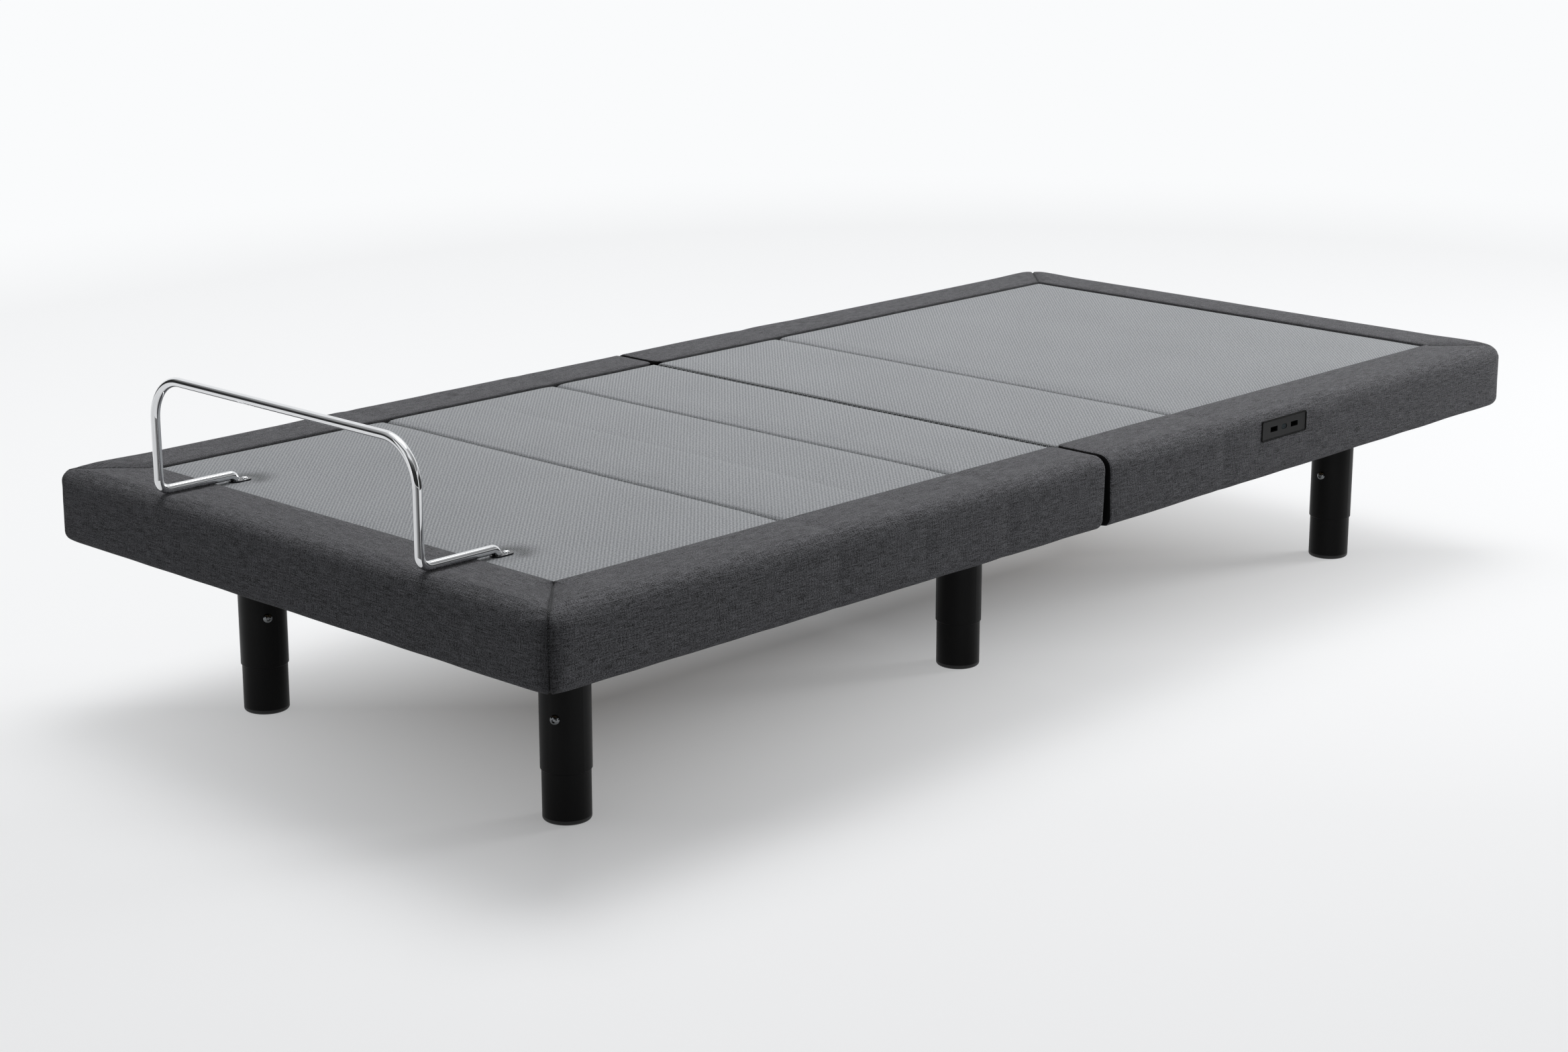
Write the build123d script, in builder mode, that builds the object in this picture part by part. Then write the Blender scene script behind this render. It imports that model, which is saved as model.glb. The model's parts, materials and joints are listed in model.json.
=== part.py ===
from build123d import *
import os
from collections import namedtuple
from math import asin, cos, degrees, radians, sin, tan

# Adjustable bed base: an upholstered deck in five sections on a steel frame with six telescopic legs.
# X runs across (+X is the side with the charging plate), Y from foot to head, Z up.
# The origin is on the floor under the middle of the bed.

# Overall sizes in millimetres
LENGTH = 2019.0
WIDTH = 965.0
DECK_TOP = 334.0
BORDER = 95.0
BORDER_RISE = 3.0
SKIRT_HEIGHT = 95.0
SKIRT_T = 40.0
CORNER_R = 30.0
BORDER_TOP_R = 22.0
HEM_R = 14.0
SEAM_GAP = 0.6

# Creases and the split between the two halves, along Y
KNEE_Y = -536.0
HIP_Y = -217.0
SPLIT_Y = -8.0
BACK_Y = 257.0
SPLIT_GAP = 6.0
CREASE_GAP = 1.4
BACK_TRAVEL = 60.0
THIGH_TRAVEL = 40.0
RELIEF_SPARE = 0.6
OPEN_CREASE_SETBACK = 5.5
KNEE_BOARD_SETBACK = 11.0

# Boards, foam pads and hinges
BOARD_T = 15.0
PAD_T = 22.0
PAD_EDGE_R = 4.0
SOFT_GAP = 0.3
HINGE_DROP = 12.0
HINGE_X = 280.0
HINGE_WIDTH = 60.0
HINGE_LEAF = 30.0
HINGE_PLATE_T = 2.5
KNUCKLE_R = 6.0
KNUCKLE_GAP = 0.3
HINGE_PIN_R = 3.0
PIN_HEAD_R = 4.5
PIN_HEAD_T = 1.5
POCKET_GAP = 1.0
RUN_GAP = 0.06

# Welded steel frame
TUBE_W = 25.0
TUBE_H = 50.0
TUBE_WALL = 2.0
REST_GAP = 0.3
FRAME_INSET = 149.5
FRAME_REACH = LENGTH / 2 - FRAME_INSET
END_TUBE_INSET = 45.0
HEAD_CROSS_Y = 85.0
SPLICE_LENGTH = 160.0
SPLICE_HEIGHT = 40.0
SPLICE_T = 4.0
SPLICE_BOLT_NEAR = 28.0
SPLICE_BOLT_FAR = 62.0
BOLT_R = 4.0
BOLT_HEAD_R = 7.5
BOLT_HEAD_T = 5.3
NUT_T = 6.5
BOLT_TAIL = 2.0
FIT_GAP = 0.25

# Telescopic legs
LEG_X = 299.5
MID_LEG_X = 243.0
FOOT_LEG_INSET = 38.0
HEAD_LEG_INSET = 53.0
FOOT_LEG_Y = FOOT_LEG_INSET - FRAME_REACH
MID_LEG_Y = -30.0
HEAD_LEG_Y = FRAME_REACH - HEAD_LEG_INSET
SLEEVE_R = 32.0
POST_R = 30.4
POST_WALL = 2.0
POST_GAP = 0.3
SLEEVE_TOP_T = 4.0
SLEEVE_EDGE = 1.0
STEP_Z = 65.0
POST_TOP_GAP = 18.0
CAP_T = 6.0
CAP_EDGE_R = 4.0
CAP_PLUG = 14.0
LOCK_Z = 135.0
LOCK_SHANK_R = 4.0
LOCK_HEAD_R = 6.5
LOCK_HEAD_T = 5.0

# Lifting linkage
SHAFT_R = 12.5
STUB_R = 10.0
SHAFT_DROP = 50.0
HEAD_SHAFT_Y = 297.0
ARM_X = 200.0
ARM_T = 8.0
HEAD_ARM = 330.0
HEAD_ARM_HEIGHT = 28.0
FOOT_ARM_HEIGHT = 20.0
BEARING_T = 6.0
BEARING_WIDTH = 50.0
BEARING_HEIGHT = 44.0
ROLLER_R = 20.0
ROLLER_WIDTH = 20.0
ROLLER_GAP = 0.5
ARM_PIN_R = 5.0
PIN_WASHER_R = 8.0
PIN_WASHER_T = 2.0
TRACK_T = 3.0
TRACK_WIDTH = 50.0
TRACK_LENGTH = 140.0
TRACK_START = 275.0
TRACK_GAP = 0.4
LINK_PLATE_T = 6.0
LINK_PLATE_GAP = 1.0
LINK_BOSS_R = 10.0
LINK_ROOT = 60.0
LEVER = 90.0
LEVER_T = 8.0
LEVER_WIDTH = 20.0
LEVER_GAP = 0.6

# Electric actuators
ACTUATOR_X = 110.0
ROD_R = 10.0
GUIDE_R = 18.0
HEAD_GUIDE_END = 200.0
FOOT_GUIDE_END = -135.0
HEAD_GUIDE_LENGTH = 150.0
FOOT_GUIDE_LENGTH = 130.0
ROD_END_GAP = 15.0
FORK_WALL = 5.0
FORK_ROOT = 22.0
FORK_ROOT_T = 12.0
FORK_LIP = 12.0
FORK_SLOT_W = 12.6
FORK_SLOT_SPARE = 0.6
FORK_SLOT_WALL = 4.0
MOTOR_WIDTH = 64.0
MOTOR_HEIGHT = 60.0
MOTOR_LENGTH = 62.0
MOTOR_CAN_R = 26.0
MOTOR_CAN_LENGTH = 90.0
MOTOR_CAN_OUT = 52.0
EYE_T = 12.0
EYE_R = 14.0
BASE_CHEEK_T = 4.0
BASE_CHEEK_GAP = 0.5
BASE_PLATE_T = 4.0

# Control box under the lumbar board
BOX_WIDTH = 150.0
BOX_LENGTH = 130.0
BOX_HEIGHT = 48.0
BOX_WALL = 2.5
BOX_Y = 178.0
BOX_LID_T = 3.0
INLET_WIDTH = 28.0
INLET_HEIGHT = 20.0
INLET_DEPTH = 18.0
INLET_WALL = 3.0
INLET_FLANGE = 3.0
INLET_FLANGE_T = 2.0

# Charging plate on the back section's side rail
PLATE_Y = 399.0
PLATE_Z = 309.0
PLATE_WIDTH = 108.0
PLATE_HEIGHT = 28.0
PLATE_T = 3.0
PORT_SPACING = 50.0
PORT_WIDTH = 17.0
PORT_HEIGHT = 7.5
PORT_DEPTH = 16.0
PORT_WALL = 1.0
LIGHT_WIDTH = 13.0
LIGHT_HEIGHT = 7.0
LIGHT_T = 1.6
LIGHT_RECESS = 0.8

# Mattress retainer bar at the foot
BAR_R = 6.0
BAR_X = 256.5
BAR_INSET = 6.5
BAR_Y = BAR_INSET - LENGTH / 2
BAR_TOP_Z = 492.0
TAIL_INSET = 28.0
BAR_TAIL_Y = BORDER + TAIL_INSET - LENGTH / 2
BAR_TOP_BEND = 56.0
BAR_LOW_BEND = 15.0
BAR_TAIL_BEND = 8.0
BAR_LIFT = 0.3
CLAMP_SPACING = 15.0
CLAMP_WIDTH = 17.0
CLAMP_T = 2.0
CLAMP_BAR_GAP = 0.5
CLAMP_SCREW_R = 2.1
CLAMP_HEAD_R = 4.0
CLAMP_HEAD_T = 2.6

# Places that follow from the sizes
half_w = WIDTH / 2
half_l = LENGTH / 2
border_top = DECK_TOP + BORDER_RISE
skirt_bottom = border_top - SKIRT_HEIGHT
board_top = DECK_TOP - PAD_T
board_bottom = board_top - BOARD_T
board_half_w = half_w - SKIRT_T - SOFT_GAP
pad_half_w = half_w - BORDER - SOFT_GAP
pad_half_l = half_l - BORDER - SOFT_GAP
hinge_z = DECK_TOP - HINGE_DROP
tube_top = board_bottom - REST_GAP
tube_mid = tube_top - TUBE_H / 2
tube_bottom = tube_top - TUBE_H
tube_inner_x = LEG_X - TUBE_W / 2
tube_outer_x = LEG_X + TUBE_W / 2
shaft_z = hinge_z - SHAFT_DROP

# A crease: its place, half gap, slopes above and below the hinge line, and the boards' setback
Crease = namedtuple("Crease", "y half_gap above below setback")
half_crease = CREASE_GAP / 2
fold_back = tan(radians(BACK_TRAVEL / 2 + RELIEF_SPARE))
fold_thigh = tan(radians(THIGH_TRAVEL / 2 + RELIEF_SPARE))
foot_end = Crease(-half_l, 0, 0, 0, SKIRT_T + SOFT_GAP)
knee = Crease(KNEE_Y, half_crease, 0, fold_thigh, KNEE_BOARD_SETBACK)
hip = Crease(HIP_Y, half_crease, fold_thigh, 0, OPEN_CREASE_SETBACK)
centre_split = Crease(SPLIT_Y, SPLIT_GAP / 2, 0, 0, SPLIT_GAP / 2)
back = Crease(BACK_Y, half_crease, fold_back, 0, OPEN_CREASE_SETBACK)
head_end = Crease(half_l, 0, 0, 0, SKIRT_T + SOFT_GAP)


def save(builder, name):
    builder.part.label = name
    export_step(builder.part, f"parts/{name}.step")


def x_facing(place):
    """Plane through a point, facing +X, with Y across it and Z up it."""
    return Plane(origin=place, x_dir=(0, 1, 0), z_dir=(1, 0, 0))


def crease_side(crease, side):
    """Side view of one section's edge at a crease, from the hem up, as (y, z) points."""
    reach_low = crease.below * (hinge_z - skirt_bottom)
    reach_high = crease.above * (border_top - hinge_z)
    return [
        (crease.y + side * (crease.half_gap + reach_low), skirt_bottom),
        (crease.y + side * crease.half_gap, hinge_z),
        (crease.y + side * (crease.half_gap + reach_high), border_top),
    ]


def section_outline(low, high):
    """Side view of one section of the deck, between two creases."""
    with BuildSketch(Plane.YZ) as outline:
        with BuildLine():
            Polyline(*crease_side(low, 1), *reversed(crease_side(high, -1)), close=True)
        make_face()
    return outline.sketch


def corner_seams(end):
    """Plan of the two mitred seams at the foot (-1) or head (+1) end."""
    with BuildSketch() as seams:
        for side in (-1, 1):
            with Locations((side * (half_w - BORDER / 2), end * (half_l - BORDER / 2))):
                Rectangle(2 * BORDER, SEAM_GAP, rotation=45 * side * end)
    return seams.sketch


# The padded border as one ring, from which each section's rails are cut
with BuildPart() as border_ring:
    with BuildSketch(Plane.XY.offset(skirt_bottom)):
        RectangleRounded(WIDTH, LENGTH, CORNER_R)
    extrude(amount=SKIRT_HEIGHT)
    fillet(border_ring.faces().sort_by(Axis.Z)[-1].edges(), radius=BORDER_TOP_R)
    fillet(border_ring.faces().sort_by(Axis.Z)[0].edges(), radius=HEM_R)
    with BuildSketch(Plane.XY.offset(skirt_bottom)):
        Rectangle(WIDTH - 2 * SKIRT_T, LENGTH - 2 * SKIRT_T)
    extrude(amount=board_top - skirt_bottom, mode=Mode.SUBTRACT)
    with BuildSketch(Plane.XY.offset(skirt_bottom)):
        Rectangle(WIDTH - 2 * BORDER, LENGTH - 2 * BORDER)
    extrude(amount=SKIRT_HEIGHT, mode=Mode.SUBTRACT)


def rails_between(low, high):
    """The part of the border ring that belongs to one section."""
    with BuildPart() as rails:
        add(border_ring.part)
        extrude(section_outline(low, high), amount=WIDTH, both=True, mode=Mode.INTERSECT)
    return rails.part


# Foot rail and the calf section's two side rails
with BuildPart() as calf_rails:
    add(rails_between(foot_end, knee))
    extrude(corner_seams(-1), amount=border_top, mode=Mode.SUBTRACT)
save(calf_rails, "calf_rails")

with BuildPart() as thigh_rails:
    add(rails_between(knee, hip))
save(thigh_rails, "thigh_rails")

# Side rails of the fixed middle: two either side of the split
with BuildPart() as middle_rails:
    for low, high in ((hip, centre_split), (centre_split, back)):
        add(rails_between(low, high))
save(middle_rails, "middle_rails")

# Head rail and the back section's side rails, with a pocket for the charging plate
port_body_w = PORT_WIDTH + 2 * PORT_WALL
port_body_h = PORT_HEIGHT + 2 * PORT_WALL
pocket_depth = PLATE_T + PORT_DEPTH + SOFT_GAP
with BuildPart() as back_rails:
    add(rails_between(back, head_end))
    extrude(corner_seams(1), amount=border_top, mode=Mode.SUBTRACT)
    with Locations((half_w - PLATE_T / 2, PLATE_Y, PLATE_Z)):
        Box(PLATE_T, PLATE_WIDTH + 2 * SOFT_GAP, PLATE_HEIGHT + 2 * SOFT_GAP, mode=Mode.SUBTRACT)
    with Locations((half_w - pocket_depth / 2, PLATE_Y, PLATE_Z)):
        Box(pocket_depth, PORT_SPACING + port_body_w + 2 * SOFT_GAP, port_body_h + 2 * SOFT_GAP,
            mode=Mode.SUBTRACT)
save(back_rails, "back_rails")

# Hinges: three per crease, each a pair of leaves on the boards with their knuckles on the hinge line
hinge_places = (-HINGE_X, 0, HINGE_X)
knuckle_third = HINGE_WIDTH / 3
pedestal = KNUCKLE_R * 2


def hinge_leaf(crease, side, spans):
    """One leaf of a hinge about x = 0: a plate on the board and knuckles over the given x spans."""
    plate_start = crease.y + side * crease.setback
    with BuildPart() as leaf:
        with Locations((0, plate_start + side * HINGE_LEAF / 2, board_top + HINGE_PLATE_T / 2)):
            Box(HINGE_WIDTH, HINGE_LEAF, HINGE_PLATE_T)
        for start, end in spans:
            with BuildSketch(Plane.YZ.offset(start)):
                with BuildLine():
                    Polyline(
                        (crease.y, hinge_z + KNUCKLE_R / 2),
                        (crease.y, hinge_z - KNUCKLE_R / 2),
                        (plate_start, board_top),
                        (plate_start + side * pedestal, board_top),
                        (plate_start + side * pedestal, board_top + HINGE_PLATE_T),
                        close=True,
                    )
                make_face()
                with Locations((crease.y, hinge_z)):
                    Circle(KNUCKLE_R)
            extrude(amount=end - start)
        with Locations(x_facing((0, crease.y, hinge_z))):
            Cylinder(HINGE_PIN_R + RUN_GAP, HINGE_WIDTH, mode=Mode.SUBTRACT)
    return leaf.part


outer_spans = (
    (-HINGE_WIDTH / 2, -knuckle_third / 2 - KNUCKLE_GAP),
    (knuckle_third / 2 + KNUCKLE_GAP, HINGE_WIDTH / 2),
)
middle_span = ((-knuckle_third / 2, knuckle_third / 2),)
hinge_locations = [(x, 0, 0) for x in hinge_places]


def hinge_pin_row(crease):
    """Headed pins of one crease, one through each hinge."""
    with BuildPart() as pins:
        with Locations(*[x_facing((x, crease.y, hinge_z)) for x in hinge_places]):
            Cylinder(HINGE_PIN_R, HINGE_WIDTH)
            with Locations((0, 0, HINGE_WIDTH / 2 + PIN_HEAD_T / 2), (0, 0, -HINGE_WIDTH / 2 - PIN_HEAD_T / 2)):
                Cylinder(PIN_HEAD_R, PIN_HEAD_T)
    return pins.part


with BuildPart() as fixed_hinge_leaves:
    with Locations(*hinge_locations):
        add(hinge_leaf(hip, 1, outer_spans))
        add(hinge_leaf(back, -1, outer_spans))
save(fixed_hinge_leaves, "fixed_hinge_leaves")

with BuildPart() as back_hinge_leaves:
    with Locations(*hinge_locations):
        add(hinge_leaf(back, 1, middle_span))
save(back_hinge_leaves, "back_hinge_leaves")

with BuildPart() as thigh_hinge_leaves:
    with Locations(*hinge_locations):
        add(hinge_leaf(hip, -1, middle_span))
        add(hinge_leaf(knee, 1, outer_spans))
save(thigh_hinge_leaves, "thigh_hinge_leaves")

with BuildPart() as calf_hinge_leaves:
    with Locations(*hinge_locations):
        add(hinge_leaf(knee, -1, middle_span))
save(calf_hinge_leaves, "calf_hinge_leaves")

with BuildPart() as fixed_hinge_pins:
    add(hinge_pin_row(hip))
    add(hinge_pin_row(back))
save(fixed_hinge_pins, "fixed_hinge_pins")

with BuildPart() as knee_hinge_pins:
    add(hinge_pin_row(knee))
save(knee_hinge_pins, "knee_hinge_pins")

# Deck boards and foam pads. The calf ones are holed for the retainer bar's tails and clamp screws.
bar_places = [(side * BAR_X, BAR_TAIL_Y) for side in (-1, 1)]
clamp_screw_places = [(side * BAR_X, BAR_TAIL_Y + CLAMP_SPACING) for side in (-1, 1)]


def retainer_holes():
    """Plan of the holes through the calf pad and board."""
    with BuildSketch() as holes:
        with Locations(*bar_places):
            Circle(BAR_R + FIT_GAP)
        with Locations(*clamp_screw_places):
            Circle(CLAMP_SCREW_R + FIT_GAP)
    return holes.sketch


def board(low, high):
    """Plywood panel between two creases."""
    start = low.y + low.setback
    end = high.y - high.setback
    with BuildPart() as panel:
        with Locations((0, (start + end) / 2, board_bottom)):
            Box(2 * board_half_w, end - start, BOARD_T, align=(Align.CENTER, Align.CENTER, Align.MIN))
    return panel.part


def pad(low, high, hinged):
    """Foam pad between two creases, drawn in at the folds and pocketed over the hinges."""
    with BuildPart() as foam:
        with BuildSketch(Plane.XY.offset(board_top)):
            Rectangle(2 * pad_half_w, 2 * pad_half_l)
        extrude(amount=PAD_T)
        extrude(section_outline(low, high), amount=WIDTH, both=True, mode=Mode.INTERSECT)
        fillet(foam.edges().group_by(Axis.Z)[-1], radius=PAD_EDGE_R)
        for crease in hinged:
            reach = crease.setback + HINGE_LEAF + POCKET_GAP
            height = hinge_z + KNUCKLE_R + POCKET_GAP - board_top
            room = HINGE_WIDTH + 2 * PIN_HEAD_T + 2 * POCKET_GAP
            with Locations(*[(x, crease.y, board_top) for x in hinge_places]):
                Box(room, 2 * reach, height, align=(Align.CENTER, Align.CENTER, Align.MIN), mode=Mode.SUBTRACT)
    return foam.part


with BuildPart() as calf_board:
    add(board(foot_end, knee))
    extrude(retainer_holes(), amount=DECK_TOP, mode=Mode.SUBTRACT)
save(calf_board, "calf_board")

with BuildPart() as thigh_board:
    add(board(knee, hip))
save(thigh_board, "thigh_board")

with BuildPart() as seat_board:
    add(board(hip, centre_split))
save(seat_board, "seat_board")

with BuildPart() as lumbar_board:
    add(board(centre_split, back))
save(lumbar_board, "lumbar_board")

with BuildPart() as back_board:
    add(board(back, head_end))
save(back_board, "back_board")

with BuildPart() as calf_pad:
    add(pad(foot_end, knee, [knee]))
    extrude(retainer_holes(), amount=DECK_TOP, mode=Mode.SUBTRACT)
save(calf_pad, "calf_pad")

with BuildPart() as thigh_pad:
    add(pad(knee, hip, [knee, hip]))
save(thigh_pad, "thigh_pad")

with BuildPart() as seat_pad:
    add(pad(hip, centre_split, [hip]))
save(seat_pad, "seat_pad")

with BuildPart() as lumbar_pad:
    add(pad(centre_split, back, [back]))
save(lumbar_pad, "lumbar_pad")

with BuildPart() as back_pad:
    add(pad(back, head_end, [back]))
save(back_pad, "back_pad")

# Legs: place and the direction that each lock screw faces, in degrees from +X
Leg = namedtuple("Leg", "x y screw_turn")
legs = {
    "foot_right": Leg(LEG_X, FOOT_LEG_Y, -65),
    "foot_left": Leg(-LEG_X, FOOT_LEG_Y, -25),
    "mid_right": Leg(MID_LEG_X, MID_LEG_Y, 135),
    "mid_left": Leg(-MID_LEG_X, MID_LEG_Y, 200),
    "head_right": Leg(LEG_X, HEAD_LEG_Y, -87),
    "head_left": Leg(-LEG_X, HEAD_LEG_Y, 160),
}
leg_places = [(leg.x, leg.y) for leg in legs.values()]
sleeve_bore_r = POST_R + POST_GAP
sleeve_ceiling = tube_bottom - SLEEVE_TOP_T
post_top = sleeve_ceiling - POST_TOP_GAP


def lock_plane(leg):
    """Plane on the sleeve's outside, facing out along the lock screw."""
    out = (cos(radians(leg.screw_turn)), sin(radians(leg.screw_turn)))
    return Plane(origin=(leg.x + SLEEVE_R * out[0], leg.y + SLEEVE_R * out[1], LOCK_Z), x_dir=(0, 0, 1),
                 z_dir=(out[0], out[1], 0))


lock_planes = [lock_plane(leg) for leg in legs.values()]

with BuildPart() as leg_sleeves:
    with BuildSketch(Plane.XY.offset(STEP_Z)):
        with Locations(*leg_places):
            Circle(SLEEVE_R)
    extrude(amount=tube_bottom - STEP_Z)
    chamfer(leg_sleeves.faces().filter_by(Axis.Z).sort_by(Axis.Z)[: len(legs)].edges(), length=SLEEVE_EDGE)
    with BuildSketch(Plane.XY.offset(STEP_Z)):
        with Locations(*leg_places):
            Circle(sleeve_bore_r)
    extrude(amount=sleeve_ceiling - STEP_Z, mode=Mode.SUBTRACT)
    with BuildSketch(Plane.XY.offset(sleeve_ceiling)):
        with Locations(*leg_places):
            Circle(BOLT_R + FIT_GAP)
    extrude(amount=SLEEVE_TOP_T, mode=Mode.SUBTRACT)
    with Locations(*lock_planes):
        Cylinder(LOCK_SHANK_R + FIT_GAP, SLEEVE_R, mode=Mode.SUBTRACT)
save(leg_sleeves, "leg_sleeves")

# Dome-headed lock screw: the shank ends just short of the post
with BuildPart() as lock_screw:
    with BuildSketch():
        Circle(LOCK_HEAD_R)
    extrude(amount=LOCK_HEAD_T)
    fillet(lock_screw.faces().sort_by(Axis.Z)[-1].edges(), radius=LOCK_HEAD_T * 0.8)
    with BuildSketch():
        Circle(LOCK_SHANK_R)
    extrude(amount=-(SLEEVE_R - POST_R - POST_GAP))

with BuildPart() as leg_lock_screws:
    with Locations(*lock_planes):
        add(lock_screw.part)
save(leg_lock_screws, "leg_lock_screws")

for name, leg in legs.items():
    with BuildPart() as leg_post:
        with BuildSketch(Plane.XY.offset(CAP_T)):
            with Locations((leg.x, leg.y)):
                Circle(POST_R)
                Circle(POST_R - POST_WALL, mode=Mode.SUBTRACT)
        extrude(amount=post_top - CAP_T)
    save(leg_post, f"leg_post_{name}")

    with BuildPart() as leg_cap:
        with BuildSketch():
            with Locations((leg.x, leg.y)):
                Circle(POST_R)
        extrude(amount=CAP_T)
        fillet(leg_cap.faces().sort_by(Axis.Z)[0].edges(), radius=CAP_EDGE_R)
        with BuildSketch(Plane.XY.offset(CAP_T)):
            with Locations((leg.x, leg.y)):
                Circle(POST_R - POST_WALL - FIT_GAP)
        extrude(amount=CAP_PLUG)
    save(leg_cap, f"leg_cap_{name}")

# Frame tubes and what bolts them together
foot_tube_start = -FRAME_REACH
foot_tube_end = SPLIT_Y - SPLIT_GAP / 2
head_tube_start = SPLIT_Y + SPLIT_GAP / 2
head_tube_end = FRAME_REACH
cross_tube_y = (-FRAME_REACH + END_TUBE_INSET, MID_LEG_Y, HEAD_CROSS_Y, FRAME_REACH - END_TUBE_INSET)
splice_bolt_y = [SPLIT_Y + side * step for side in (-1, 1) for step in (SPLICE_BOLT_NEAR, SPLICE_BOLT_FAR)]
splice_planes = [
    Plane(origin=(side * (tube_outer_x + SPLICE_T), y, tube_mid), x_dir=(0, 0, 1), z_dir=(-side, 0, 0))
    for side in (-1, 1)
    for y in splice_bolt_y
]
leg_bolt_planes = [Plane(origin=(x, y, sleeve_ceiling)) for x, y in leg_places]


def bolt_form(grip):
    """Hexagon bolt and nut along +Z, with the head's seat at z = 0."""
    with BuildPart() as bolt:
        with BuildSketch(Plane.XY.offset(-BOLT_HEAD_T)):
            RegularPolygon(BOLT_HEAD_R, 6)
        extrude(amount=BOLT_HEAD_T)
        with BuildSketch():
            Circle(BOLT_R)
        extrude(amount=grip + NUT_T + BOLT_TAIL)
        with BuildSketch(Plane.XY.offset(grip)):
            RegularPolygon(BOLT_HEAD_R, 6)
        extrude(amount=NUT_T)
    return bolt.part


with BuildPart() as side_tubes:
    for start, end in ((foot_tube_start, foot_tube_end), (head_tube_start, head_tube_end)):
        with Locations((-LEG_X, (start + end) / 2, tube_mid), (LEG_X, (start + end) / 2, tube_mid)):
            Box(TUBE_W, end - start, TUBE_H)
            Box(TUBE_W - 2 * TUBE_WALL, end - start, TUBE_H - 2 * TUBE_WALL, mode=Mode.SUBTRACT)
    with Locations(*splice_planes):
        Cylinder(BOLT_R + FIT_GAP, 2 * (SPLICE_T + 2 * TUBE_WALL), mode=Mode.SUBTRACT)
    with Locations(*leg_bolt_planes):
        Cylinder(BOLT_R + FIT_GAP, 2 * (SLEEVE_TOP_T + 2 * TUBE_WALL), mode=Mode.SUBTRACT)
save(side_tubes, "side_tubes")

with BuildPart() as cross_tubes:
    with Locations(*[(0, y, tube_mid) for y in cross_tube_y]):
        Box(2 * tube_inner_x, TUBE_W, TUBE_H)
        Box(2 * tube_inner_x, TUBE_W - 2 * TUBE_WALL, TUBE_H - 2 * TUBE_WALL, mode=Mode.SUBTRACT)
    with Locations(*leg_bolt_planes):
        Cylinder(BOLT_R + FIT_GAP, 2 * (SLEEVE_TOP_T + 2 * TUBE_WALL), mode=Mode.SUBTRACT)
save(cross_tubes, "cross_tubes")

with BuildPart() as splice_plates:
    with Locations(*[(side * (tube_outer_x + SPLICE_T / 2), SPLIT_Y, tube_mid) for side in (-1, 1)]):
        Box(SPLICE_T, SPLICE_LENGTH, SPLICE_HEIGHT)
    with Locations(*splice_planes):
        Cylinder(BOLT_R + FIT_GAP, 4 * SPLICE_T, mode=Mode.SUBTRACT)
save(splice_plates, "splice_plates")

with BuildPart() as frame_bolts:
    with Locations(*splice_planes):
        add(bolt_form(SPLICE_T + TUBE_WALL))
    with Locations(*leg_bolt_planes):
        add(bolt_form(SLEEVE_TOP_T + TUBE_WALL))
save(frame_bolts, "frame_bolts")

# Lifting linkage. The levers swing evenly either side of straight down.
stub_end = tube_inner_x - ROLLER_GAP
shaft_half = tube_inner_x - BEARING_T - ROLLER_GAP
arm_outer_x = ARM_X + ARM_T / 2
track_bottom = board_bottom - TRACK_T
roller_z = track_bottom - TRACK_GAP - ROLLER_R


def head_arm_angle(back_angle):
    """Angle of the head arms above level that puts their rollers at the tracks of the lifted back."""
    lean = radians(back_angle)
    shaft_ahead = (HEAD_SHAFT_Y - BACK_Y) * sin(lean) + SHAFT_DROP * cos(lean)
    return back_angle + degrees(asin((shaft_ahead - (hinge_z - roller_z)) / HEAD_ARM))


roller_y = HEAD_SHAFT_Y + HEAD_ARM * cos(radians(head_arm_angle(0)))
head_swing = (head_arm_angle(BACK_TRAVEL) - head_arm_angle(0)) / 2
foot_swing = THIGH_TRAVEL / 2
head_lever_y = HEAD_SHAFT_Y - LEVER * sin(radians(head_swing))
foot_lever_y = HIP_Y + LEVER * sin(radians(foot_swing))


def lever_drop(swing):
    """How far the lever's pin drops from the end of its swing to the middle."""
    return LEVER * (1 - cos(radians(swing)))


def lever_pin_z(swing):
    return shaft_z - LEVER * cos(radians(swing))


def rod_z(swing):
    """Height of an actuator's axis: midway in its lever pin's rise and fall."""
    return lever_pin_z(swing) - lever_drop(swing) / 2


def cross_shaft(y):
    """Turned torque shaft across the frame, with stub ends for its bearings."""
    with BuildPart() as shaft:
        with Locations(x_facing((0, y, shaft_z))):
            Cylinder(SHAFT_R, 2 * shaft_half)
            Cylinder(STUB_R, 2 * stub_end)
    return shaft.part


def bar_plate(x, thickness, start, end, width):
    """Flat bar in a YZ plane with round ends, from one pivot to another."""
    dy = end[0] - start[0]
    dz = end[1] - start[1]
    run = (dy**2 + dz**2) ** 0.5
    across = Plane(origin=(x - thickness / 2, start[0], start[1]), x_dir=(0, dy, dz), z_dir=(1, 0, 0))
    with BuildPart() as plate:
        with BuildSketch(across):
            with Locations((run / 2, 0)):
                SlotCenterToCenter(run, width)
        extrude(amount=thickness)
    return plate.part


def arm_pin(side, y, z, length):
    """Headed pin standing out of an arm's outer face."""
    with BuildPart() as pin:
        with Locations(Plane(origin=(side * arm_outer_x, y, z), z_dir=(side, 0, 0))):
            Cylinder(ARM_PIN_R, length, align=(Align.CENTER, Align.CENTER, Align.MIN))
            with Locations((0, 0, length)):
                Cylinder(PIN_WASHER_R, PIN_WASHER_T, align=(Align.CENTER, Align.CENTER, Align.MIN))
    return pin.part


def lever_pin(x, y, z):
    """Pin through a lever's end, as long as the fork is wide."""
    with BuildPart() as pin:
        with Locations(x_facing((x, y, z))):
            Cylinder(ARM_PIN_R, LEVER_T + 2 * LEVER_GAP + 2 * FORK_WALL)
    return pin.part


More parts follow.
